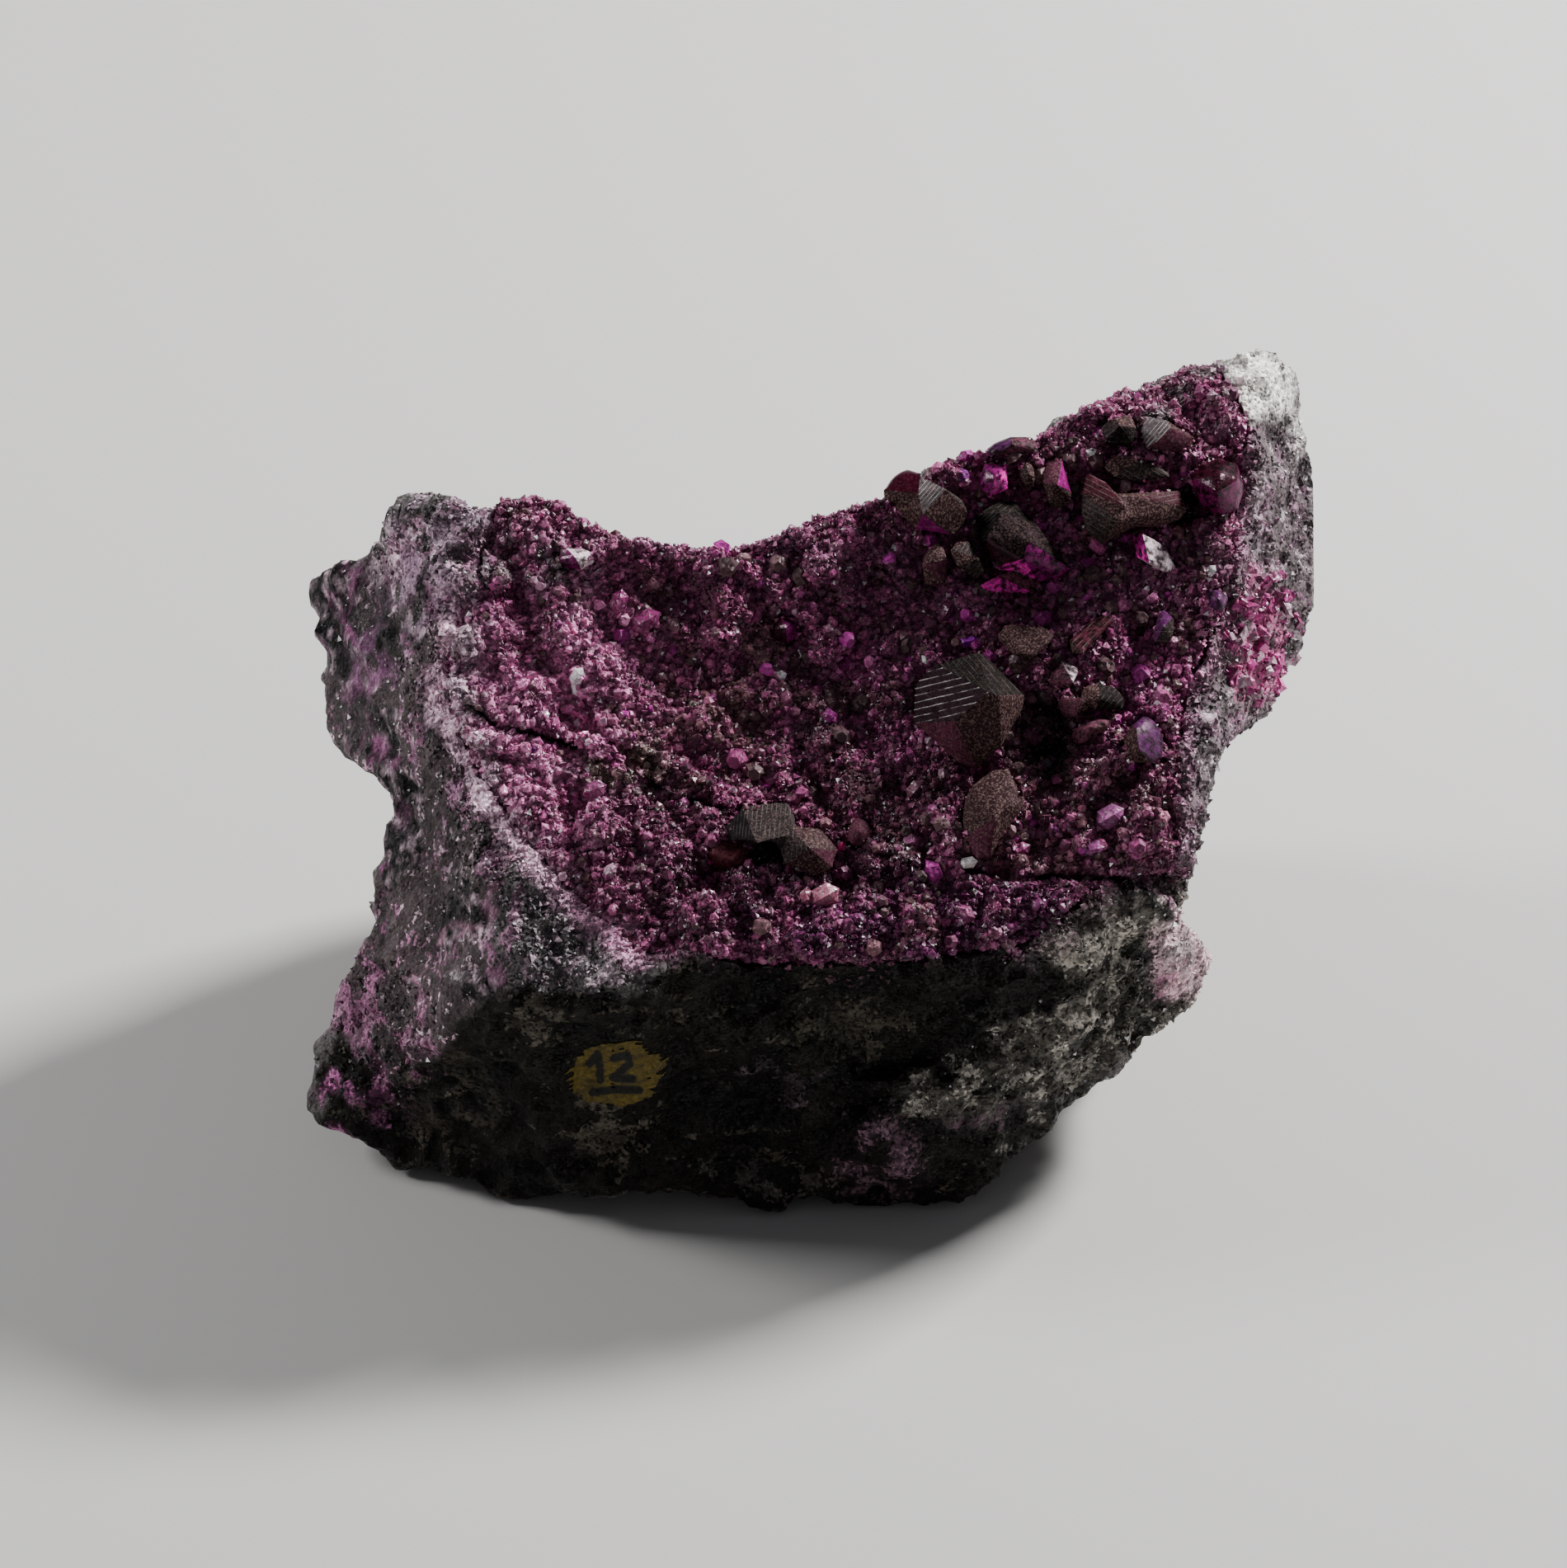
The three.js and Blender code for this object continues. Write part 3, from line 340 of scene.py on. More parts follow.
class Looks:
    """A material's nodes, written from the surface back."""

    def __init__(self, name):
        self.material = bpy.data.materials.new(name)
        self.material.use_nodes = True
        self.tree = self.material.node_tree
        self.shader = self.tree.nodes["Principled BSDF"]
        self.output = self.tree.nodes["Material Output"]

    def node(self, kind, inputs=None, **settings):
        node = self.tree.nodes.new("ShaderNode" + kind)
        for key, value in settings.items():
            setattr(node, key, value)
        for key, value in (inputs or {}).items():
            self.set(node.inputs[key], value)
        return node

    def set(self, socket, value):
        if isinstance(value, bpy.types.NodeSocket):
            self.tree.links.new(value, socket)
        else:
            socket.default_value = value

    def shade(self, **values):
        for key, value in values.items():
            self.set(self.shader.inputs[key.replace("_", " ")], value)

    def attribute(self, name, output="Color"):
        return self.node("Attribute", attribute_name=name).outputs[output]

    def noise(self, scale, detail, rough=0.6):
        where = self.node("TexCoord").outputs["Object"]
        inputs = {"Vector": where, "Scale": scale / MM, "Detail": detail, "Roughness": rough}
        return self.node("TexNoise", inputs).outputs["Fac"]

    def grains(self, scale, output="Distance"):
        where = self.node("TexCoord").outputs["Object"]
        return self.node("TexVoronoi", {"Vector": where, "Scale": scale / MM}).outputs[output]

    def vector(self, operation, a, b=(0, 0, 0)):
        return self.node("VectorMath", {0: a, 1: b}, operation=operation).outputs["Vector"]

    def sugar(self, scale, tilt, normal):
        """The normal, tilted another way on each of many small grains."""
        lean = self.vector("SUBTRACT", self.grains(scale, "Color"), (0.5, 0.5, 0.5))
        lean = self.vector("MULTIPLY", lean, (tilt, tilt, tilt))
        return self.vector("NORMALIZE", self.vector("ADD", normal, lean))

    def grain_shade(self, scale, low, high):
        """A brightness of its own for each small grain."""
        red = self.node("SeparateColor", {"Color": self.grains(scale, "Color")}).outputs["Red"]
        return self.spread(red, 0.0, 1.0, low, high)

    def math(self, operation, a, b=0.0):
        return self.node("Math", {0: a, 1: b}, operation=operation).outputs[0]

    def times(self, a, b):
        return self.math("MULTIPLY", a, b)

    def spread(self, value, low, high, to_low=0.0, to_high=1.0):
        """The value from low to high taken to a range of its own, and held at the range's ends."""
        node = self.node("MapRange", {"Value": value, "From Min": low, "From Max": high,
                                      "To Min": to_low, "To Max": to_high})
        return node.outputs["Result"]

    def mix(self, share, a, b):
        tones = [tone if isinstance(tone, bpy.types.NodeSocket) else (*tone, 1) for tone in (a, b)]
        inputs = {"Factor": share, 6: tones[0], 7: tones[1]}
        return self.node("Mix", inputs, data_type="RGBA").outputs[2]

    def shaded(self, colour, shade):
        """The colour times a brightness."""
        grey = self.node("CombineColor", {"Red": shade, "Green": shade, "Blue": shade}).outputs[0]
        inputs = {"Factor": 1.0, 6: colour, 7: grey}
        return self.node("Mix", inputs, data_type="RGBA", blend_type="MULTIPLY").outputs[2]

    def bump(self, height, distance, strength, normal=None):
        inputs = {"Height": height, "Distance": distance * MM, "Strength": strength}
        if normal:
            inputs["Normal"] = normal
        return self.node("Bump", inputs).outputs["Normal"]


ROCK_GRAIN = 2.9
CRUST_GRAIN = 3.6
# The range of each crust material's roughness, and its gloss
CRUST_FINISHES = {
    "crust_bed": (0.4, 0.7, 0.33),
    "crust_grains": (0.18, 0.5, 0.33),
    "rock_grains": (0.3, 0.65, 0.33),
    "coarse_grains": (0.3, 0.6, 0.25),
    "crust_flakes": (0.12, 0.4, 0.5),
    "rose_lumps": (0.15, 0.45, 0.5),
    "glints": (0.1, 0.3, 0.6),
    "label_paint": (0.45, 0.65, 0.2),
}


def rock_material():
    looks = Looks("broken_chromite_ore")
    grain = looks.node("SeparateColor", {"Color": looks.grains(ROCK_GRAIN, "Color")}).outputs
    # The dusting lies on whole grains: the more cover, the more grains it takes.
    chance = looks.math("ADD", looks.times(grain["Green"], 0.6),
                        looks.spread(looks.noise(1.1, 4, 0.65), 0.34, 0.66, 0.0, 0.4))
    dusted = looks.spread(looks.math("SUBTRACT", looks.attribute("cover", "Fac"), chance), 0.0, 0.1)
    colour = looks.mix(dusted, looks.attribute("tone"), looks.attribute("dusting"))
    shade = looks.times(looks.spread(looks.noise(1.6, 4, 0.7), 0.3, 0.7, 0.55, 1.5),
                        looks.spread(grain["Red"], 0.0, 1.0, 0.5, 1.5))
    relief = looks.math("SUBTRACT", looks.noise(1.9, 4), looks.grains(ROCK_GRAIN))
    looks.shade(Base_Color=looks.shaded(colour, shade), IOR=1.6, Specular_IOR_Level=0.12,
                Normal=looks.sugar(ROCK_GRAIN, 0.6, looks.bump(relief, 0.16, 0.7)),
                Roughness=looks.spread(grain["Blue"], 0.0, 1.0, 0.3, 0.8))
    return looks.material


def crust_material(name):
    rough_low, rough_high, gloss = CRUST_FINISHES[name]
    looks = Looks(name)
    shade = looks.times(looks.spread(looks.noise(1.5, 3, 0.7), 0.32, 0.68, 0.7, 1.3),
                        looks.grain_shade(CRUST_GRAIN, 0.75, 1.25))
    normal = looks.bump(looks.noise(5.5, 3), 0.05, 0.6)
    looks.shade(Base_Color=looks.shaded(looks.attribute("tone"), shade), IOR=1.58, Specular_IOR_Level=gloss,
                Normal=looks.sugar(CRUST_GRAIN, 0.7, normal),
                Roughness=looks.spread(looks.noise(2.8, 2), 0.35, 0.65, rough_low, rough_high))
    return looks.material


# Colours laid on points

class Paint:
    """A colour for each point, laid on in coats, and a dusting that the material breaks up into grains."""

    def __init__(self, count, tone):
        self.colour = np.tile(np.array(tone, float), (count, 1))
        self.dusting = self.colour.copy()
        self.cover = np.zeros(count)

    def coat(self, share, tone):
        share = np.clip(share, 0, 1)
        self.colour = self.colour * (1 - share)[:, None] + np.array(tone) * share[:, None]
        self.cover = self.cover * (1 - share)

    def dust(self, share, tone):
        share = np.clip(share, 0, 1)
        self.cover = 1 - (1 - self.cover) * (1 - share)
        part = (share / np.maximum(self.cover, 1e-6))[:, None]
        self.dusting = self.dusting * (1 - part) + np.array(tone) * part


# The host rock: its regions on the picture plane

ROCK_VOXEL = 0.62
# The rock's relief fades out down to its foot over this height.
FOOT_FADE = 1.5
DARK_FACE = [
    (-47.5, 8), (-45.5, 17), (-41.3, 12.3), (-37.5, 14.3), (-35, 16), (-33.4, 19), (-27.9, 20.2),
    (-27, 21.4), (-19.5, 20.6), (-15.4, 21), (-11, 24.8), (2, 25), (16, 25.2), (22, 25), (27, 22.5),
    (12, 14), (8, 11), (14, 8), (27, 12), (18, -2), (-48, -2),
]
LEFT_FLANK = [
    (-50, 64), (-42, 66), (-33.5, 60), (-33.1, 55), (-30.4, 41.6), (-29.1, 24.4), (-27.9, 20.6),
    (-33.4, 19), (-35, 16), (-41.3, 12.3), (-45.5, 17), (-49, 20),
]
GRANULAR_CORNER = [(-31, 41), (-28, 37), (-22.5, 31), (-16, 24), (-19.5, 20.6), (-27, 21.4), (-29.5, 25)]
LEFT_RIM = [
    (-43, 61), (-41, 66), (-36, 70), (-29, 71), (-21, 69), (-21, 63), (-25, 58), (-30, 56.5),
    (-33, 58), (-37, 63),
]
RIGHT_ROCK = [
    (14, 27), (24, 33), (35, 32.5), (37, 36), (39, 28), (39, 20), (34, 16), (26, 12), (10, 8),
    (2, 10), (12, 14), (27, 22.5), (22, 25),
]
RIGHT_FLANK = [
    (35, 32), (35.5, 44), (37, 51.5), (40, 57.6), (41.3, 63), (42, 70), (42.5, 78), (46, 84),
    (52, 80), (52, 60), (44, 44), (39, 34),
]
CRUST_OUTLINE = [
    (-29.5, 72), (-30.5, 66), (-32, 62), (-33.5, 58.5), (-34.6, 54), (-34.4, 50),
    (-32.6, 45), (-31, 41.5), (-28.6, 38.2), (-24, 32.6), (-19.4, 28), (-16.8, 25.3),
    (-11, 25.8), (-6, 24.6), (2, 24.4), (10, 24.8), (18, 25.8), (22, 27), (26, 30.4),
    (30, 33), (35.2, 33.4), (35.4, 38), (35.4, 44), (36.6, 51.5), (39.6, 57.6),
    (41, 63), (41.6, 70), (42.4, 76), (41, 80), (36, 84), (20, 80), (0, 74), (-15, 70),
]
WHITE_BAND = [
    (-34.4, 57), (-34.0, 50), (-31.7, 41.4), (-29.2, 36.8), (-26.2, 33.6), (-22.4, 30.4), (-18, 26),
]
# Hairline cracks: the last is the long fissure that ends in the notch at the right
CRACKS = [
    [(-33.2, 49.4), (-30, 47.2), (-27, 46.6), (-22.5, 45.1)],
    [(-15.3, 41.8), (-12.8, 40.2), (-10.6, 39.9), (-7.9, 39.1)],
    [(3.1, 36.3), (5.2, 35.2), (8, 34.6)],
    [(15.4, 33.2), (20.8, 32.6), (25.6, 32.7), (31.2, 32.3), (33.8, 31.2), (35.4, 29.4)],
]
VEINS = [
    ([(-31.2, 46), (-29.8, 40), (-28.3, 33), (-28.6, 25)], 0.55, (0.34, 0.17, 0.26)),
    ([(-34.5, 41), (-36, 37), (-37, 33.5)], 0.6, (0.34, 0.16, 0.27)),
    ([(-31.5, 38.5), (-30, 34), (-30.5, 29), (-34.5, 27.5), (-38, 23)], 0.45, (0.34, 0.17, 0.24)),
    ([(-36, 50), (-34.6, 46), (-33, 41)], 0.5, (0.33, 0.24, 0.3)),
]
# Ellipses, each by its place and its half sizes
WHITE_TIP = ((43.7, 81.2), (3.7, 3.7))
PALE_LUMP = ((36.2, 24.6), (3.3, 4.3))
ROSE_PATCH = ((43.8, 54.5), (3.6, 5.5))
LABEL = ((-18.6, 13.5), (4.7, 3.1))
# The dark face's fibres run across it, so noise on it changes more slowly that way.
FIBRES = np.array([0.35, 1.0, 1.6])

# The rock's paint, one layer over the other: its region, whether it is a coat or a dusting, how much
# of it, the patches that it lies in, by size, seed, low and high, and its tone
ROCK_LAYERS = [
    ("all", "coat", 1.0, (8, 60, 0.1, 0.6), (0.125, 0.114, 0.112)),
    ("all", "coat", 0.8, (6, 64, 0.45, 0.8), (0.2, 0.1, 0.15)),
    ("left flank", "coat", 1.0, None, (0.057, 0.042, 0.045)),
    ("left flank", "dust", 0.92, (5, 90, -0.2, 0.3), (0.004, 0.0035, 0.0035)),
    ("left flank", "dust", 0.45, (3, 94, 0.0, 0.7), (0.28, 0.12, 0.21)),
    ("left flank", "dust", 0.55, (0.9, 98, 0.1, 0.9), (0.68, 0.5, 0.58)),
    ("left rim", "coat", 0.6, None, (0.062, 0.048, 0.051)),
    ("left rim", "dust", 0.75, (2.5, 99, -0.6, 0.2), (0.33, 0.175, 0.255)),
    ("left rim", "dust", 0.9, (1.5, 100, 0.1, 0.6), (0.6, 0.45, 0.52)),
    ("corner", "coat", 1.0, None, (0.095, 0.082, 0.085)),
    ("corner", "dust", 0.6, (1.4, 102, -0.4, 0.6), (0.27, 0.19, 0.23)),
    ("corner", "dust", 0.5, (0.9, 106, 0.2, 0.8), (0.46, 0.36, 0.41)),
    ("right rock", "coat", 1.0, None, (0.085, 0.076, 0.065)),
    ("right rock", "coat", 0.9, (2.2, 110, 0.1, 0.4), (0.018, 0.017, 0.015)),
    ("right rock", "dust", 0.75, (1.7, 114, -0.3, 0.6), (0.33, 0.3, 0.26)),
    ("right flank", "coat", 1.0, None, (0.09, 0.068, 0.074)),
    ("right flank", "coat", 0.8, (1.8, 118, 0.3, 0.6), (0.035, 0.029, 0.03)),
    ("right flank", "dust", 0.6, (3.2, 120, -0.1, 0.6), (0.22, 0.11, 0.17)),
    ("right flank", "dust", 0.7, (1.4, 122, 0.1, 0.8), (0.4, 0.33, 0.36)),
    ("seam", "coat", 0.7, None, (0.12, 0.075, 0.095)),
    ("seam", "dust", 0.8, (1.3, 124, -0.5, 0.5), (0.36, 0.19, 0.275)),
    # Painted shade: the dark face's coat is far darker than the same ore elsewhere, as that face is turned
    # from the light.
    ("dark face", "coat", 1.0, None, (0.0036, 0.0028, 0.0017)),
    ("dark face", "coat", 0.7, (4.5, 126, 0.05, 0.5), (0.012, 0.0095, 0.0065)),
]
ROCK_TONE = (0.068, 0.062, 0.06)
FIBRE_TONE = (0.05, 0.041, 0.031)
TIP_TONE = (0.93, 0.89, 0.83)
CRACK_TONE = (0.008, 0.006, 0.006)
PINK = (0.34, 0.1, 0.24)
LILAC = (0.3, 0.19, 0.27)
# The white band's ground, its dusting, and the paler dusting that it goes over to at these heights
BAND_TONE = (0.4, 0.24, 0.32)
BAND_DUST_TONE = (0.58, 0.3, 0.45)
BAND_PALE_TONE = (0.88, 0.66, 0.76)
BAND_PALER = (26, 40)
# Each patch's place, half sizes and tone
DARK_FACE_MOTTLES = [
    ((-35, 11), (6, 4.5), (0.055, 0.047, 0.036)), ((-21, 7.5), (5, 3.5), (0.055, 0.047, 0.036)),
    ((-26, 18.5), (4, 2.5), (0.065, 0.056, 0.043)), ((-2, 12.5), (4.5, 2), (0.085, 0.058, 0.07)),
    ((-5, 3), (8, 2), (0.05, 0.043, 0.037)), ((5, 18), (7, 3), (0.035, 0.03, 0.022)),
]
# Each patch's place, half sizes and tone, and how its cover is broken up, by low and high
ROCK_PATCHES = [
    ((-44.3, 59), (1.2, 3.2), PINK, (-0.6, 0.1)),
    ((-41.7, 59), (2.2, 3.2), (0.035, 0.034, 0.034), (-0.5, 0.1)),
    ((-37.5, 60.5), (3, 3.4), LILAC, (-0.3, 0.3)),
    ((-41.5, 53.5), (3.6, 3.2), (0.26, 0.1, 0.21), (-0.2, 0.4)),
    ((-43.5, 47.8), (2.3, 2.8), (0.04, 0.038, 0.036), (-0.5, 0.1)),
    ((-41.3, 44.6), (2.6, 1.7), PINK, (-0.2, 0.4)),
    ((-33, 67), (8.5, 2.6), (0.34, 0.25, 0.31), (-0.4, 0.3)),
    ((-41, 27), (1.6, 6), PINK, (0.0, 0.5)),
    ((-41.5, 18), (4.6, 7.5), (0.4, 0.165, 0.29), (-0.3, 0.3)),
    ((-44.5, 11.5), (3, 3.5), PINK, (-0.1, 0.4)),
    ((-33.5, 24.5), (2.0, 1.8), (0.3, 0.26, 0.28), (0.0, 0.5)),
    ((7.5, 4.8), (4.6, 4.6), (0.115, 0.062, 0.085), (-0.9, 0.6)),
    ((19.5, 7.6), (5, 2), (0.3, 0.27, 0.24), (-0.1, 0.4)),
    ((47.4, 77), (1.3, 4.5), (0.8, 0.74, 0.73), (-0.9, -0.1)),
    (*ROSE_PATCH, (0.31, 0.065, 0.16), (-0.5, 0.2)),
    ((45.2, 60.5), (2.2, 2.2), (0.32, 0.08, 0.175), (-0.2, 0.4)),
    (*PALE_LUMP, (0.88, 0.6, 0.67), (-1.6, -0.9)),
    ((36.2, 25.4), (1.7, 2.2), (0.36, 0.32, 0.33), (-0.8, 0.2)),
    ((35.2, 22.6), (1.5, 2.2), (0.5, 0.16, 0.31), (-0.4, 0.4)),
    ((36.5, 31.5), (1.4, 1.8), (0.3, 0.14, 0.22), (-0.4, 0.2)),
]
# The rock's relief: the height, size and seed of each kind of chip
ROCK_CHIPS = [(0.3, 9.0, 1), (0.5, 4.2, 2), (0.75, 1.9, 3)]
# Where the relief is lower: the outlines with their soft edge, the ellipses, and by what share
CALM_OUTLINES = [(LEFT_FLANK, 1.5, 0.15), (RIGHT_FLANK, 1.5, 0.3), (GRANULAR_CORNER, 1.5, 0.3)]
CALM_SPOTS = [(*PALE_LUMP, 0.6), (WHITE_TIP[0], (4.5, 5), 0.85), (LABEL[0], (5.5, 4), 0.8)]


def towards_viewer(normals):
    """1 where the rock faces the viewer and 0 where it faces away."""
    return smoothstep(normals @ NEAR, -0.15, 0.2)


def along_seam(places):
    """1 along the edge of the crust and 0 away from it."""
    return line_share(places, CRUST_OUTLINE + CRUST_OUTLINE[:1], 2.0, 0.6)


def along_cracks(points):
    """1 in the hairline cracks and 0 away from them."""
    places = plane_of(points)
    return np.maximum.reduce([line_share(places, route, 0.32) for route in CRACKS])


def rock_tones(points, normals):
    """The rock's colour, from where its surface is."""
    places = plane_of(ragged(points, 20))
    seen = towards_viewer(normals)
    right_rock = seen * polygon(places, RIGHT_ROCK, 0.8)
    dark_face = seen * polygon(places, DARK_FACE, 0.25)
    regions = {
        "all": 1.0,
        "left flank": seen * polygon(places, LEFT_FLANK, 0.8),
        "left rim": seen * polygon(places, LEFT_RIM, 1.2),
        "corner": seen * polygon(places, GRANULAR_CORNER, 0.6),
        "right rock": right_rock,
        "right flank": seen * polygon(places, RIGHT_FLANK, 0.8),
        "seam": seen * along_seam(places) * (1 - 0.6 * right_rock),
        "dark face": dark_face,
    }
    paint = Paint(len(points), ROCK_TONE)
    for region, layer, amount, patches, tone in ROCK_LAYERS:
        share = amount * regions[region]
        if patches:
            share = share * patchy(points, *patches)
        lay = paint.coat if layer == "coat" else paint.dust
        lay(share, tone)
    paint.dust(0.6 * dark_face * patchy(points * FIBRES, 1.5, 130, 0.2, 0.8), FIBRE_TONE)
    for at, half, tone in DARK_FACE_MOTTLES:
        share = dark_face * ellipse(places, at, half) * patchy(points, 2, 134, -0.35, 0.3)
        paint.dust(0.75 * share, tone)
    for at, half, tone, cover in ROCK_PATCHES:
        share = seen * ellipse(places, at, half) * patchy(points, 2.2, 138, *cover)
        paint.coat(0.25 * share, tone)
        paint.dust(0.75 * share, tone)
    for route, half, tone in VEINS:
        share = seen * line_share(places, route, half) * patchy(points, 1.5, 142, -0.5, 0.2)
        paint.coat(0.2 * share, tone)
        paint.dust(0.7 * share, tone)
    paint.coat(seen * ellipse(places, *WHITE_TIP), TIP_TONE)
    band = seen * line_share(places, WHITE_BAND, 1.5, 0.7) * patchy(points, 1.6, 178, -0.9, 0.0)
    paint.coat(0.5 * band, BAND_TONE)
    paint.dust(0.8 * band, BAND_DUST_TONE)
    paint.dust(0.75 * band * smoothstep(places[:, 1], *BAND_PALER), BAND_PALE_TONE)
    for route in CRACKS:
        paint.coat(seen * line_share(places, route, 0.35), CRACK_TONE)
    return paint


def make_rock():
    points, faces = remeshed("host_rock", ROCK_VOXEL)
    normals = point_normals(points, faces)
    places = plane_of(points)
    seen = towards_viewer(normals)
    height = sum(amount * chips(points, size, seed) for amount, size, seed in ROCK_CHIPS)
    height += 0.14 * noise(points, 1.1, 5)
    pitted = strongest(places, [(RIGHT_ROCK, 1.0, 1.0), (DARK_FACE, 1.0, 0.5)], [])
    pits = smoothstep(noise(points, 1.5, 6) + 0.6 * noise(points, 4.0, 7), 0.25, 0.75)
    height -= 0.7 * seen * pitted * pits
    height *= 1 - seen * strongest(places, CALM_OUTLINES, CALM_SPOTS)
    height -= 0.9 * seen * along_cracks(points)
    # The outermost parts keep to the box of the CAD.
    gap = np.minimum(points - BOX_LOW, BOX_HIGH - points)
    gap[:, 2] = BOX_HIGH[2] - points[:, 2]
    gap = gap.min(1)
    outermost = 1 - smoothstep(gap, 0.1, 0.6)
    height = height * (1 - outermost) + 1.6 * gap * outermost
    height *= smoothstep(points[:, 2], 0, FOOT_FADE)
    moved = kept_in_box(points + normals * height[:, None])
    normals = point_normals(moved, faces)
    paint = rock_tones(moved, normals)
    # Painted shade and highlight: the tone and dusting are darker down in the relief's hollows and lighter
    # on its ridges.
    shade = (0.35 + 1.1 * smoothstep(height, -0.8, 0.7))[:, None]
    mesh = make_mesh("host_rock_surface", moved, faces)
    add_colour(mesh, "tone", paint.colour * shade)
    add_colour(mesh, "dusting", paint.dusting * shade)
    add_value(mesh, "cover", paint.cover)
    piece = add_object("host_rock_surface", mesh, rock_material(), "rock")
    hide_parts("host_rock")
    rock = Surface(moved, faces)
    make_label(rock, normals)
    return rock


# The painted patch, a film that is cut finer than the rock's net

LABEL_ROOM = (7, 5)
LABEL_CUTS = 5
LABEL_STAND = 0.07
# Painted shade: the paint's main tone is darkened, as the patch lies on the shaded front face.
SHADED_LABEL_TONE = (0.12, 0.084, 0.01)
LABEL_THIN_TONE = (0.07, 0.05, 0.013)
LABEL_STROKE_TONE = (0.006, 0.0055, 0.004)
# Plain strokes: a number and a line under it
LABEL_STROKES = [
    [(-21.2, 14.5), (-20.4, 15.4), (-20.1, 12.9)],
    [(-18.9, 15.0), (-17.6, 15.3), (-17.4, 14.5), (-18.9, 13.1), (-17.0, 13.0)],
    [(-20.9, 11.7), (-18.6, 12.0), (-16.4, 11.9)],
]


def cut_finer(corners, cuts):
    """A finer net on four-sided faces that are given by their corners."""
    net = []
    steps = np.arange(cuts + 1) / cuts
    for v, u in itertools.product(steps, steps):
        low = corners[:, 0] * (1 - u) + corners[:, 1] * u
        high = corners[:, 3] * (1 - u) + corners[:, 2] * u
        net.append(low * (1 - v) + high * v)
    row = cuts + 1
    start = np.array([j * row + i for j in range(cuts) for i in range(cuts)])
    faces = np.stack([start, start + 1, start + row + 1, start + row], 1)
    faces = faces[None] + np.arange(len(corners))[:, None, None] * row * row
    return np.stack(net, 1).reshape(-1, 3), faces.reshape(-1, 4)


def make_label(rock, normals):
    """The patch of yellow paint with its strokes, its tone darkened with painted shade."""
    away = np.abs(plane_of(rock.centres) - LABEL[0])
    wanted = (away < LABEL_ROOM).all(1) & (rock.facing > 0)
    raised = rock.points + normals * LABEL_STAND
    film, faces = cut_finer(raised[rock.faces[wanted]], LABEL_CUTS)
    places = plane_of(film)
    brush = 0.9 * noise(film * FIBRES, 0.45, 150) + 0.7 * noise(film, 1.6, 151)
    inside = ellipse(places + np.outer(brush, (1, 0.35)), *LABEL, soft=0.02) > 0.5
    whole = noise(film * FIBRES, 0.35, 152) + 0.4 * noise(film, 0.8, 153) >= -0.95
    used, faces = np.unique(faces[(inside & whole)[faces].all(1)], return_inverse=True)
    film = kept_in_box(film[used])
    places = (places + np.outer(brush, (0.12, 0)))[used]
    paint = Paint(len(film), SHADED_LABEL_TONE)
    paint.coat(patchy(film * FIBRES, 1.0, 155, -0.1, 0.6), LABEL_THIN_TONE)
    for route in LABEL_STROKES:
        paint.coat(line_share(places, route, 0.4, 0.2), LABEL_STROKE_TONE)
    mesh = make_mesh("painted_label", film, faces.reshape(-1, 4))
    add_colour(mesh, "tone", paint.colour)
    add_object("painted_label", mesh, crust_material("label_paint"), "rock")


# The crust's bed

CRUST_VOXEL = 0.5
CRUST_GROWTH = 0.3
BED_SHADE = 0.8
OVER_BACK = np.array([0.0, 0.5, 0.87])
CRUST_TONE = (0.38, 0.092, 0.215)
CRUST_PINK_TONE = (0.47, 0.1, 0.285)
CRUST_BROWN_TONE = (0.24, 0.11, 0.125)
CRUST_CRACK_TONE = (0.008, 0.004, 0.006)
CRUST_BAND_TONE = (0.6, 0.29, 0.45)
CRUST_BAND_PALE_TONE = (0.84, 0.61, 0.72)
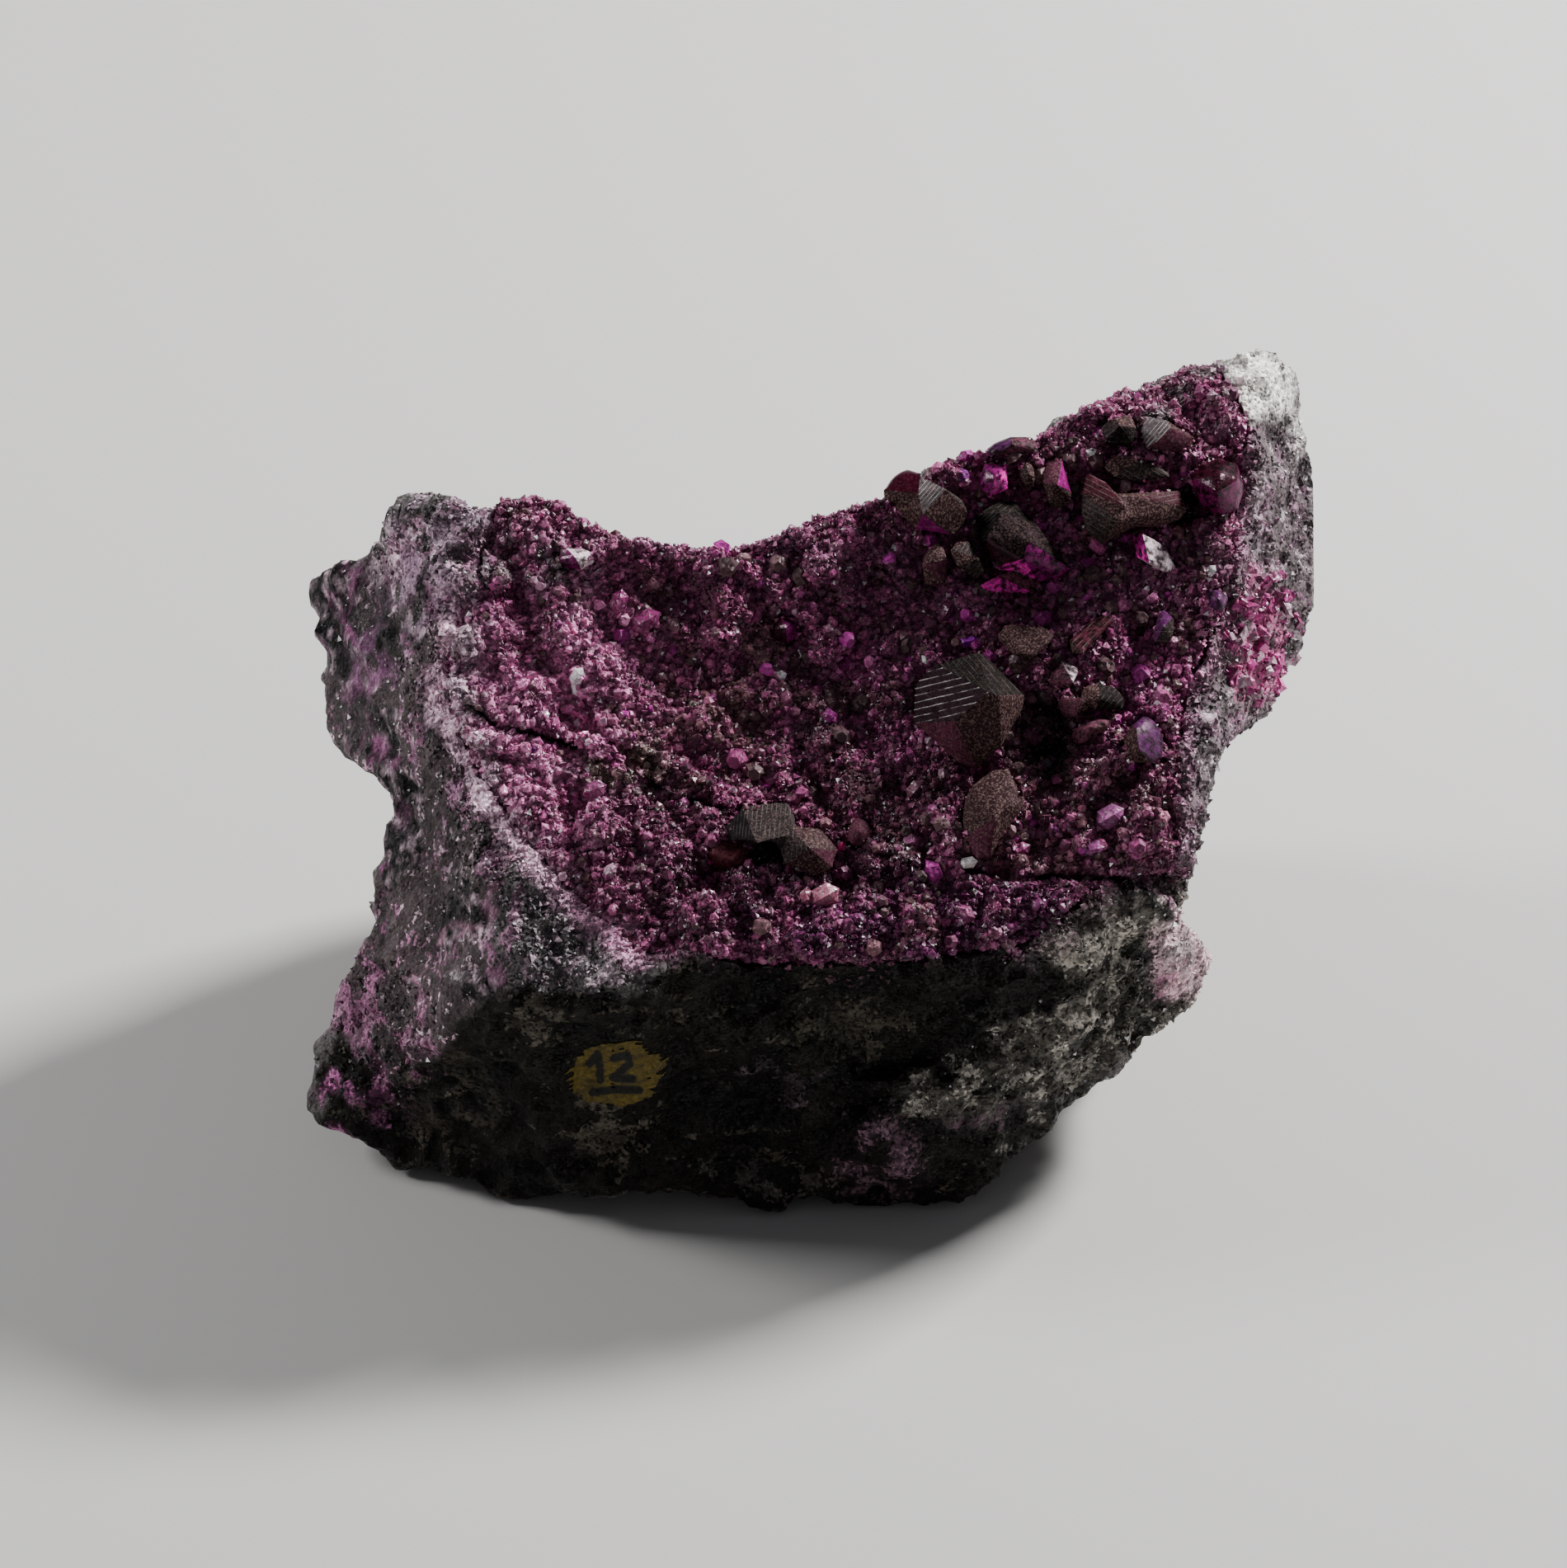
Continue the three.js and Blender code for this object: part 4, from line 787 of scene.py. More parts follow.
# Each patch's place, half sizes and tone, and how its cover is broken up, by low and high
CRUST_PATCHES = [
    ((-25, 50), (9.5, 15), (0.95, 0.35, 0.65), (-0.8, 0.1)),
    ((-28, 61.5), (6.5, 4.5), (0.24, 0.165, 0.19), (-0.3, 0.3)),
    ((-33.5, 58), (3, 6), (0.46, 0.33, 0.4), (-0.5, 0.3)),
    ((-18, 43), (4.5, 3), (0.23, 0.155, 0.14), (-0.5, 0.1)),
    ((-14, 34), (8, 7), (0.27, 0.07, 0.155), (-0.5, 0.3)),
    ((-5, 50), (11, 6), (0.33, 0.15, 0.18), (-0.2, 0.5)),
    ((7, 43), (9, 8), (0.19, 0.055, 0.098), (-0.5, 0.3)),
    ((30, 40), (8, 7), (0.22, 0.07, 0.115), (-0.5, 0.3)),
    ((15, 58), (8, 5), (0.52, 0.16, 0.3), (-0.6, 0.3)),
    ((20, 63), (14, 5), (0.39, 0.105, 0.25), (-0.5, 0.3)),
    ((28, 61), (11, 8), (0.4, 0.11, 0.25), (-0.6, 0.3)),
    ((0, 31), (15, 5), (0.1, 0.02, 0.055), (-0.5, 0.3)),
    ((12, 28), (18, 4), (0.16, 0.026, 0.105), (-0.5, 0.3)),
    ((-7, 64.5), (16, 2.5), (0.38, 0.14, 0.26), (-0.1, 0.5)),
    ((39, 60), (3, 8), (0.36, 0.14, 0.24), (-0.2, 0.4)),
    ((37.5, 78), (6, 4), (0.24, 0.18, 0.2), (-0.1, 0.4)),
    # The next two near-black patches are painted shadow: in the pit beside a crystal, and in the hollow
    # under a crystal's lobe.
    ((22.8, 46.6), (2.6, 4.4), (0.02, 0.006, 0.012), (-1.0, 0.0)),
    ((-4.2, 34.8), (1.6, 1.2), (0.014, 0.006, 0.009), (-2.0, -1.0)),
    ((36.5, 68), (2.6, 1.6), (0.02, 0.006, 0.011), (-1.0, -0.4)),
]


def lumpiness(points, big=0.25, small=0.75):
    """How high the crust's lumps stand at each point."""
    return big * lumps(points, 2.6, 11) + small * lumps(points, 1.1, 12)


def open_side(normals):
    """1 where the crust is open, to the viewer or over its back edge, and 0 where rock backs it."""
    return np.maximum(smoothstep(normals @ NEAR, -0.1, 0.2), smoothstep(normals @ OVER_BACK, 0.2, 0.4))


def shaded_crust_tones(points, height):
    """The crust's colour, from where its surface is, with painted shade and highlight from how high its
    lumps stand, from 0 to 1: darker between the lumps and lighter on their tops.
    """
    places = plane_of(ragged(points, 170, 0.8))
    wide = noise(points, 11, 70) + 0.6 * noise(points, 4.5, 71)
    paint = Paint(len(points), CRUST_TONE)
    paint.coat(smoothstep(wide, -0.1, 0.9), CRUST_PINK_TONE)
    paint.coat(0.7 * patchy(points, 4, 72, 0.2, 0.7), CRUST_BROWN_TONE)
    for at, half, tone, cover in CRUST_PATCHES:
        paint.coat(ellipse(places, at, half) * patchy(points, 2.4, 174, *cover), tone)
    band = line_share(places, WHITE_BAND, 1.9, 0.6) * patchy(points, 1.6, 178, -0.6, 0.2)
    paint.coat(band, CRUST_BAND_TONE)
    paint.coat(0.9 * band * smoothstep(places[:, 1], *BAND_PALER), CRUST_BAND_PALE_TONE)
    places = plane_of(points)
    for route in CRACKS:
        paint.coat(line_share(places, route, 0.35), CRUST_CRACK_TONE)
    # Painted shade and highlight: darker between the lumps, lighter on their tops.
    return paint.colour * (0.45 + 1.0 * height)[:, None]


def make_crust():
    points, faces = remeshed("druse_crust", CRUST_VOXEL, CRUST_GROWTH)
    normals = point_normals(points, faces)
    height = lumpiness(points, 0.4, 0.65) + 0.25 * noise(points, 0.7, 13) - 0.5
    height -= 0.8 * along_cracks(points)
    moved = kept_in_box(points + normals * (height * open_side(normals))[:, None])
    mesh = make_mesh("druse_crust_bed", moved, faces)
    add_colour(mesh, "tone", BED_SHADE * shaded_crust_tones(moved, lumpiness(points)))
    piece = add_object("druse_crust_bed", mesh, crust_material("crust_bed"), "crust")
    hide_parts("druse_crust")
    return Surface(moved, faces)


# Grains of plain crystal solids

def hull(corners):
    """The corners and triangles of the solid that these corners span."""
    bm = bmesh.new()
    for corner in corners:
        bm.verts.new(corner)
    bmesh.ops.convex_hull(bm, input=bm.verts)
    bmesh.ops.triangulate(bm, faces=bm.faces)
    bm.verts.index_update()
    points = np.array([v.co for v in bm.verts])
    triangles = np.array([[v.index for v in f.verts] for f in bm.faces])
    bm.free()
    return points, triangles


def grain_shapes():
    """The grains' solids, with a half width of 1."""
    six = [(math.cos(k * math.pi / 3), math.sin(k * math.pi / 3)) for k in range(6)]
    rim = [(x, y, 0) for x, y in six]
    return {
        "plate": hull(rim + [(0.55 * x, 0.55 * y, 0.85) for x, y in six] + [(0, 0, -0.8)]),
        "edged": hull(rim + [(-0.3, 0, 1.0), (0.3, 0, 1.0), (0, 0, -0.8)]),
        "gem": hull([(0.8 * x, 0.8 * y, 0.3 * (-1) ** k) for k, (x, y) in enumerate(six)]
                    + [(0, 0, 1.1), (0, 0, -1.1)]),
        "block": hull([(1, 0, 0), (0, 0.8, 0), (-1, 0, 0), (0, -0.8, 0), (0, 0, 1), (0, 0, -0.8)]),
        "splinter": hull([(1, 0, -0.5), (-0.6, 0.9, -0.5), (-0.6, -0.9, -0.5), (0, 0, 1.1)]),
    }


GRAIN_SHAPES = grain_shapes()
# Grains of a colour of their own: their share, how far they go over to a tone, and the tone. The last, near
# white, are painted sparkles.
ODD_GRAINS = [
    (0.07, 0.45, (0.3, 0.022, 0.19)),
    (0.16, 0.65, (0.11, 0.075, 0.066)),
    (0.14, 0.7, (0.06, 0.012, 0.036)),
    (0.03, 0.6, (0.4, 0.28, 0.34)),
    (0.003, 1.0, (0.9, 0.86, 0.88)),
]


def turned(axes, spins):
    """Rotations that take +Z to the axes, after a spin about it."""
    axes = axes / lengths(axes)[:, None]
    other = np.where(np.abs(axes[:, :1]) < 0.7, [[1.0, 0, 0]], [[0, 1.0, 0]])
    first = np.cross(other, axes)
    first /= lengths(first)[:, None]
    second = np.cross(axes, first)
    c, s = np.cos(spins)[:, None], np.sin(spins)[:, None]
    return np.stack([c * first + s * second, c * second - s * first, axes], 2)


class Grains:
    """Grains at random places on those faces of a surface that are wanted."""

    def __init__(self, surface, wanted, per_mm2, seed):
        self.random = np.random.default_rng(seed)
        share = np.cumsum(surface.area * wanted)
        self.count = int(share[-1] * per_mm2)
        chosen = np.searchsorted(share, self.random.random(self.count) * share[-1])
        u, v = self.random.random((2, self.count, 1))
        corners = surface.points[surface.faces[chosen]]
        a, b, c, d = (corners[:, k] for k in (0, 1, 2, -1))
        self.places = (a * (1 - u) + b * u) * (1 - v) + (d * (1 - u) + c * u) * v
        self.axes = surface.normals[chosen]

    def size(self, radius, spread, low=-2.0, high=2.0):
        """Gives the grains radii about a middle one."""
        self.radii = radius * np.exp(spread * np.clip(self.random.normal(size=self.count), low, high))

    def lean(self, amount):
        self.axes = self.axes + amount * self.random.normal(size=self.axes.shape)

    def shade(self, amount):
        """Makes each grain a little brighter or darker."""
        self.tones = self.tones * np.exp(amount * self.random.normal(size=(self.count, 1)))

    def vary(self):
        """Makes each grain a little brighter or darker, and some of a colour of their own."""
        light = np.clip(self.tones.mean(1, keepdims=True) / 0.17, 0, 1)
        self.shade(0.22)
        draw = self.random.random(self.count)
        reached = 0.0
        for share, strength, tone in ODD_GRAINS:
            odd = ((draw >= reached) & (draw < reached + share))[:, None] * strength
            reached += share
            self.tones = self.tones * (1 - odd) + np.array(tone) * light * odd

    def build(self, name, shape, material):
        """Makes one joined mesh of those grains that lie inside the CAD's box."""
        corners, triangles = GRAIN_SHAPES[shape]
        turn = turned(self.axes, self.random.random(self.count) * 2 * math.pi)
        stretch = self.radii[:, None] * (0.8 + 0.5 * self.random.random((self.count, 3)))
        points = np.einsum("nij,nkj->nki", turn, corners[None] * stretch[:, None])
        points += self.places[:, None]
        inside = ((points > BOX_LOW) & (points < BOX_HIGH)).all((1, 2))
        points = points[inside]
        faces = triangles[None] + np.arange(len(points))[:, None, None] * len(corners)
        mesh = make_mesh(name, points.reshape(-1, 3), faces.reshape(-1, 3))
        add_colour(mesh, "tone", np.repeat(self.tones[inside], len(corners), 0))
        add_object(name, mesh, material, "crust")


# Each kind of grain: its shape, how many stand on a square millimetre, their radius and seed
CRUST_GRAINS = {
    "grains_plates": ("plate", 0.3, 0.34, 101),
    "grains_edged": ("edged", 1.0, 0.29, 102),
    "grains_blocky": ("block", 2.4, 0.25, 103),
    "grains_sharp": ("splinter", 4.4, 0.22, 104),
    "grains_fine": ("splinter", 5.2, 0.18, 105),
}
ROCK_GRAINS = {
    "rock_grains_blocky": ("block", 2.0, 0.26, 111),
    "rock_grains_sharp": ("splinter", 4.6, 0.21, 112),
}
# How many glints lie on a square millimetre, how far they are raised, and their seed
GLINTS = {"rock_glints": (0.35, 0.08, 123), "crust_glints": (0.4, 0.2, 124)}
# Where grains stand on the rock: the outlines with their soft edge, the ellipses, and how thickly
GRAINY_OUTLINES = [
    (RIGHT_ROCK, 1.0, 0.3), (GRANULAR_CORNER, 1.2, 1.0), (RIGHT_FLANK, 0.8, 0.3), (LEFT_RIM, 1.5, 0.6),
]
GRAINY_SPOTS = [(*PALE_LUMP, 0.25), (*ROSE_PATCH, 0.6), ((-41.5, 17), (4.6, 7.5), 0.5)]
# Where the crust is coarser, with crystals of a millimetre or two, and how thickly they stand
COARSE = [
    ((24, 52), (13, 9), 1.0), ((24, 66), (17, 10), 1.0), ((22, 36), (14, 5), 0.8),
    ((-3, 46), (12, 5), 0.35), ((-6, 58), (10, 5), 0.35), ((4, 29), (14, 4), 0.5),
    ((-22, 52), (8, 10), 0.25),
]
# The share of the coarse grains that has each tone
COARSE_TONES = [
    (0.35, (0.066, 0.034, 0.039)), (0.26, (0.145, 0.026, 0.08)), (0.22, (0.112, 0.048, 0.06)),
    (0.13, (0.21, 0.018, 0.14)), (0.04, (0.12, 0.012, 0.12)),
]
ROSE_SPOTS = [((43.8, 54.5), (3.2, 5.2), 1.0), ((45.2, 60.5), (2.0, 2.0), 0.6)]
ROSE_TONE = (0.34, 0.042, 0.175)
PALE_ROSE_TONE = (0.4, 0.24, 0.31)
# Painted sparkle: the glints' near-white tone stands in for light glinting off facets.
PAINTED_SPARKLE_TONE = (0.9, 0.82, 0.87)
BRIGHTEST = 0.95


def make_crust_grains(crust, material):
    wanted = open_side(crust.normals)
    for name, (shape, per_mm2, radius, seed) in CRUST_GRAINS.items():
        grains = Grains(crust, wanted, per_mm2, seed)
        grains.size(radius, spread=0.34, high=2.2)
        grains.lean(0.75)
        # The grains take the crust's painted shade and highlight from the lumps under them.
        grains.tones = shaded_crust_tones(grains.places, lumpiness(grains.places))
        grains.vary()
        grains.radii *= 1 - 0.75 * along_cracks(grains.places)
        grains.build(name, shape, material)


def make_coarse_grains(crust):
    """Frosted, rosy and wine crystals of a middle size."""
    places = plane_of(ragged(crust.centres, 190))
    wanted = np.maximum(0.03, strongest(places, [], COARSE))
    wanted *= smoothstep(crust.facing, 0.0, 0.3) * (1 - along_cracks(crust.centres))
    grains = Grains(crust, wanted, per_mm2=0.26, seed=121)
    grains.size(radius=0.55, spread=0.38, low=-1.6, high=1.8)
    grains.axes = grains.axes + 0.45 * NEAR
    grains.lean(0.5)
    shares, tones = zip(*COARSE_TONES)
    chosen = np.searchsorted(np.cumsum(shares), grains.random.random(grains.count))
    bed = shaded_crust_tones(grains.places, np.full(grains.count, 0.6)).mean(1, keepdims=True)
    grains.tones = np.array(tones)[np.minimum(chosen, len(tones) - 1)] * np.clip(bed / 0.1, 0.4, 1.6)
    grains.shade(0.25)
    grains.build("grains_coarse", "plate", crust_material("coarse_grains"))


def make_rock_grains(rock):
    """The sparser grains that stand on the rock round the crust and make its granular patches."""
    places = plane_of(ragged(rock.centres, 180, 0.7))
    seam = along_seam(places) * (1 - 0.85 * polygon(places, DARK_FACE, 0.8))
    wanted = np.maximum.reduce([
        strongest(places, GRAINY_OUTLINES, GRAINY_SPOTS), 1.2 * seam,
        line_share(places, WHITE_BAND, 3.6, 0.6),
    ])
    wanted *= smoothstep(rock.facing, -0.1, 0.2) * (1 - 0.9 * ellipse(places, WHITE_TIP[0], (5, 6)))
    wanted *= (1 - along_cracks(rock.centres)) * (1 - ellipse(places, LABEL[0], (6, 4.2)))
    material = crust_material("rock_grains")
    for name, (shape, per_mm2, radius, seed) in ROCK_GRAINS.items():
        grains = Grains(rock, wanted, per_mm2, seed)
        grains.size(radius, spread=0.35)
        paint = rock_tones(grains.places, grains.axes)
        dusted = (grains.random.random(grains.count) < paint.cover)[:, None]
        places = plane_of(ragged(grains.places, 180, 0.7))
        purple = polygon(places, CRUST_OUTLINE, 2.4)[:, None]
        bed = shaded_crust_tones(grains.places, np.full(grains.count, 0.5))
        grains.tones = np.where(dusted, paint.dusting, paint.colour) * (1 - purple) + bed * purple
        grains.shade(0.28)
        grains.lean(0.8)
        grains.build(name, shape, material)


def make_rose_lumps(rock):
    """The glassy rose lumps on the right flank."""
    places = plane_of(ragged(rock.centres, 195, 0.8))
    wanted = strongest(places, [], ROSE_SPOTS) * smoothstep(rock.facing, 0.0, 0.2)
    grains = Grains(rock, wanted, per_mm2=1.1, seed=122)
    grains.size(radius=0.55, spread=0.35, low=-1.6, high=1.6)
    grains.tones = np.array(ROSE_TONE)
    grains.shade(0.45)
    pale = grains.random.random((grains.count, 1)) < 0.25
    grains.tones = np.where(pale, PALE_ROSE_TONE, grains.tones)
    grains.lean(0.5)
    grains.build("rose_lumps", "gem", crust_material("rose_lumps"))


def make_glints(surfaces):
    """Tiny near-white flakes, painted sparkles: their white tone stands in for light glinting off facets,
    and their gloss also catches the lights.
    """
    material = crust_material("glints")
    for surface, (name, (per_mm2, raised, seed)) in zip(surfaces, GLINTS.items()):
        places = plane_of(surface.centres)
        wanted = smoothstep(surface.facing, -0.2, 0.1) * (1 - polygon(places, DARK_FACE, 1.5))
        wanted *= 1 - along_cracks(surface.centres)
        wanted *= 0.25 + 0.75 * patchy(surface.centres, 4.0, 196, -0.4, 0.4)
        grains = Grains(surface, wanted, per_mm2, seed)
        grains.size(radius=0.105, spread=0.5)
        grains.tones = np.array(PAINTED_SPARKLE_TONE)
        grains.shade(0.4)
        grains.tones = np.minimum(grains.tones, BRIGHTEST)
        grains.lean(0.6)
        grains.places = grains.places + raised * grains.axes
        grains.build(name, "splinter", material)


# Small things that stand out of the crust: across, up, their half length and half width, the way
# that they lean in the picture plane, and their tone
# The small bright magenta flakes are painted glints: light shining back out of the crystals, given as
# colour.
FLAKES = [
    (-8.3, 34.6, 3.2, 2.3, -20, (0.19, 0.048, 0.064)), (-9.7, 34, 0.5, 0.4, 60, (0.85, 0.03, 0.45)),
    (3.2, 35.3, 0.6, 0.45, 80, (0.9, 0.05, 0.28)), (-22.4, 51.9, 1, 0.7, 60, (0.9, 0.87, 0.88)),
    (-22.6, 50.6, 0.7, 0.45, 100, (0.85, 0.82, 0.84)), (-2.8, 52.1, 0.8, 0.55, 20, (0.8, 0.74, 0.78)),
    (-10.8, 51.9, 1.1, 0.2, 75, (0.8, 0.45, 0.58)), (-25.3, 48.2, 0.45, 0.4, 10, (0.9, 0.87, 0.88)),
    (-22.3, 47.7, 0.5, 0.4, 40, (0.85, 0.82, 0.84)), (11.3, 53.9, 0.6, 0.4, 100, (0.92, 0.9, 0.9)),
    (15.7, 34, 0.95, 0.6, 10, (0.92, 0.86, 0.84)), (39.1, 62.1, 0.7, 0.5, 50, (0.92, 0.88, 0.9)),
    (27.2, 73.7, 0.7, 0.4, 20, (0.92, 0.9, 0.9)), (34.3, 49.5, 0.8, 0.5, 30, (0.7, 0.55, 0.6)),
    (15.5, 55.5, 1.5, 0.6, 12, (0.45, 0.03, 0.55)), (-4.1, 41.5, 0.5, 0.35, 10, (0.75, 0.03, 0.5)),
    (28.4, 73.1, 0.5, 0.4, 10, (0.85, 0.05, 0.6)), (7.8, 63.4, 0.8, 0.6, 30, (0.6, 0.05, 0.42)),
    (26.8, 59.7, 0.5, 0.3, 30, (0.75, 0.05, 0.5)), (3.4, 53.4, 1.1, 0.8, 60, (0.16, 0.02, 0.1)),
    (-16, 57.4, 1.7, 1.1, 30, (0.22, 0.03, 0.12)), (-18.2, 59.2, 1.3, 0.9, 80, (0.22, 0.03, 0.12)),
    (1.6, 30.7, 1.6, 1.3, 30, (0.34, 0.11, 0.17)), (-0.2, 30.6, 0.9, 0.7, 100, (0.34, 0.11, 0.17)),
    (9.9, 35.8, 1, 0.9, 20, (0.3, 0.1, 0.2)), (21.9, 37, 0.7, 0.6, 80, (0.34, 0.14, 0.26)),
    (29.5, 38.4, 1.6, 1.2, 30, (0.32, 0.09, 0.24)), (27.8, 35.3, 1.2, 0.9, 10, (0.3, 0.07, 0.22)),
    (20.5, 35.3, 1.1, 0.8, 30, (0.42, 0.09, 0.25)), (-12.1, 39.6, 1, 0.8, 60, (0.26, 0.05, 0.16)),
    (-20.5, 41, 1.2, 0.9, 20, (0.24, 0.06, 0.15)), (13.5, 58.2, 1.1, 0.8, 60, (0.1, 0.02, 0.06)),
    (30.5, 63.5, 1.1, 0.8, 20, (0.14, 0.05, 0.09)), (37.8, 66.5, 1, 0.8, 70, (0.16, 0.04, 0.09)),
    (10.6, 41, 1.2, 0.9, 50, (0.2, 0.08, 0.12)),
]
# Faces that face away count as this much farther off, so no flake is placed on them.
HIDDEN_FAR = 50


def make_flakes(crust):
    places = plane_of(crust.centres)
    near = (crust.centres + PLANE_ORIGIN) @ NEAR
    hidden = np.where(crust.facing > 0, 0, HIDDEN_FAR)
    corners, triangles = GRAIN_SHAPES["edged"]
    points, faces, tones = [], [], []
    for across, up, length, width, lean, tone in FLAKES:
        away = lengths(places - (across, up)) + hidden - 0.15 * near
        place = crust.centres[np.argmin(away)] + 0.35 * width * NEAR
        axis = RIGHT * math.cos(math.radians(lean)) + UP * math.sin(math.radians(lean))
        out = NEAR + 0.3 * axis
        out -= axis * (out @ axis)
        out /= np.linalg.norm(out)
        thickness = 0.45 if min(tone) > 0.4 else 0.9
        turn = np.stack([axis * length, np.cross(out, axis) * width, out * width * thickness], 0)
        faces.append(triangles + len(corners) * len(points))
        points.append(corners @ turn + place)
        tones.append(np.tile(tone, (len(corners), 1)))
    mesh = make_mesh("crust_flakes", kept_in_box(np.concatenate(points)), np.concatenate(faces))
    add_colour(mesh, "tone", np.concatenate(tones))
    add_object("crust_flakes", mesh, crust_material("crust_flakes"), "crust")


# The larger crystals

# How a face looks: its colour, how much pale dust lies on it, how strongly painted highlight lines run
# along its steps, how rough it is, and the distance and height of its growth steps
FACE_LOOKS = {
    "frost": ((0.026, 0.011, 0.013), 0.85, 0.0, 0.6, 1.0, 0),
    "veiled": ((0.01, 0.006, 0.007), 0.3, 0.0, 0.75, 1.0, 0),
    "grey": ((0.016, 0.013, 0.0125), 0.4, 0.16, 0.55, 0.45, 0),
    "dim": ((0.006, 0.0058, 0.0048), 0.16, 0.1, 0.8, 0.5, 0),
    "rosy": ((0.062, 0.014, 0.03), 0.48, 0.0, 0.55, 1.0, 0),
    "reddish": ((0.04, 0.006, 0.013), 0.25, 0.22, 0.5, 0.5, 0),
    "steps": ((0.012, 0.005, 0.008), 0.12, 0.9, 0.45, 0.66, 0.13),
    "streaks": ((0.005, 0.0042, 0.0042), 0.03, 0.11, 0.85, 0.3, 0),
    "bright": ((0.06, 0.052, 0.055), 0.45, 1.0, 0.35, 0.34, 0.06),
    "white": ((0.46, 0.37, 0.4), 0.35, 0.0, 0.4, 1.0, 0),
    "violet": ((0.06, 0.008, 0.058), 0.2, 0.1, 0.4, 0.6, 0),
    "wine": ((0.03, 0.002, 0.009), 0.08, 0.0, 0.25, 1.0, 0),
    "garnet": ((0.09, 0.003, 0.045), 0.1, 0.0, 0.25, 1.0, 0),
    "magenta": ((0.2, 0.005, 0.12), 0.12, 0.1, 0.25, 0.7, 0),
    # Painted glow: this bright magenta stands in for light shining back out of the crystal.
    "painted_glow": ((0.95, 0.025, 0.5), 0.12, 0.35, 0.15, 0.5, 0.09),
}
# The looks that let light into a clear crystal: the others are too dusty for it.
CLEAR_LOOKS = ("violet", "wine", "garnet", "magenta", "painted_glow")
# The spots of each crystal: a face looks as the spot nearest to it does. A spot has its place, its
# look and the angle that its steps and their painted highlight lines run at.
SPOTS = {
    "crystal_rim_pair": [
        (9.0, 71.2, "wine", 0), (11.7, 69.9, "bright", 49), (13.6, 67.9, "frost", 49),
        (9.5, 68.2, "frost", 49), (14.5, 69.2, "grey", 49), (12.3, 66.3, "magenta", 0),
    ],
    "crystal_blade": [
        (17.6, 66.6, "streaks", 40), (18.8, 68.8, "dim", 40), (19.5, 65.9, "veiled", 40),
        (18.8, 63.7, "wine", 0), (22.8, 65.2, "veiled", -56), (22.9, 62.3, "magenta", 20),
        (19.3, 61.2, "painted_glow", -25), (21.3, 61.8, "rosy", 0),
    ],
    "crystal_kite": [(15.5, 63.6, "grey", 60), (14.6, 63.4, "frost", 0)],
    "crystal_shield": [(12.2, 63.1, "frost", 0), (13.3, 62.5, "rosy", 0)],
    "crystal_clear_rhomb": [(17.4, 71.4, "magenta", 0), (18.9, 71.4, "painted_glow", 35)],
    "crystal_left_of_split": [(20.8, 71.4, "grey", 0), (21.8, 71.3, "frost", 0)],
    "crystal_right_of_split": [
        (23.3, 72.3, "rosy", 0), (23.9, 70.2, "frost", 0), (25.3, 71.2, "magenta", 80),
    ],
    "crystal_rim_lump": [(18.5, 74.2, "violet", 30), (21.0, 74.4, "rosy", 30)],
    "crystal_dark_hex": [(28.9, 75.9, "grey", 40), (30.8, 75.4, "dim", 0), (31.4, 76.6, "frost", 0)],
    "crystal_bright_striped": [(33.6, 76.1, "bright", 49), (35.9, 74.9, "rosy", 0), (36, 76, "frost", 0)],
    "crystal_flat_plate": [(31, 72.8, "frost", -30), (33.6, 71.9, "grey", -30)],
    "crystal_stepped_big": [
        (28.2, 70.4, "reddish", -29), (27.8, 67.1, "grey", -29), (30.2, 68.0, "frost", 0),
        (32.6, 69.0, "frost", 0), (35.5, 69.0, "reddish", 10), (34.0, 67.3, "frost", 0),
    ],
    "crystal_wine_hexagon": [(39.8, 72.3, "wine", 0), (39.3, 69.3, "garnet", 0), (41.7, 70.0, "garnet", 0)],
    "crystal_two_tone": [(32.4, 64.9, "painted_glow", -60), (34.0, 64.0, "white", 0)],
    "crystal_violet_point": [(39.6, 59.4, "violet", 60)],
    "crystal_three_faced": [
        (13.0, 50.6, "steps", 13), (17.9, 52.3, "dim", -50), (17.5, 47.0, "frost", 0),
        (12.6, 46.8, "rosy", 0), (20.6, 49.0, "frost", 0),
    ],
    "crystal_polygon": [(20.9, 55.6, "frost", 0)],
    "crystal_white_triangle": [(24.2, 51.9, "rosy", 0), (25.9, 52.4, "white", 0)],
    "crystal_double_hex": [(25.2, 49.2, "rosy", 0), (27.6, 49.4, "frost", 0), (29.3, 49.8, "dim", 50)],
    "crystal_rosy_lump": [(27.4, 47.1, "rosy", 0)],
    "crystal_parallel_blades": [
        (27.2, 56.5, "reddish", 45), (26, 54.6, "frost", 0), (29.4, 54.8, "frost", 0),
    ],
    "crystal_small_point": [(34.2, 57.0, "violet", 0), (35.2, 56.4, "grey", 0)],
    "crystal_violet_split": [(33.2, 46.0, "violet", -40), (31.1, 45.3, "frost", 0)],
    "crystal_two_blades": [(16.2, 39.6, "frost", 0), (19.5, 38.8, "frost", 0), (16.4, 35.4, "rosy", 0)],
    "crystal_three_lobes": [
        (-4.8, 38.2, "streaks", 85), (0.4, 35.4, "frost", 0), (2.5, 35.0, "rosy", 0),
        (-8.2, 34.6, "reddish", 0), (-2.2, 36.2, "grey", 85),
    ],
    "crystal_low_lump": [(4.8, 37, "rosy", 0)],
    "crystal_wine_pair": [(-3.2, 56.5, "wine", 0), (-1.4, 56.4, "magenta", 0)],
    "crystal_pink_white": [(-23.8, 63.4, "magenta", 0), (-21.6, 63.4, "white", 0)],
}
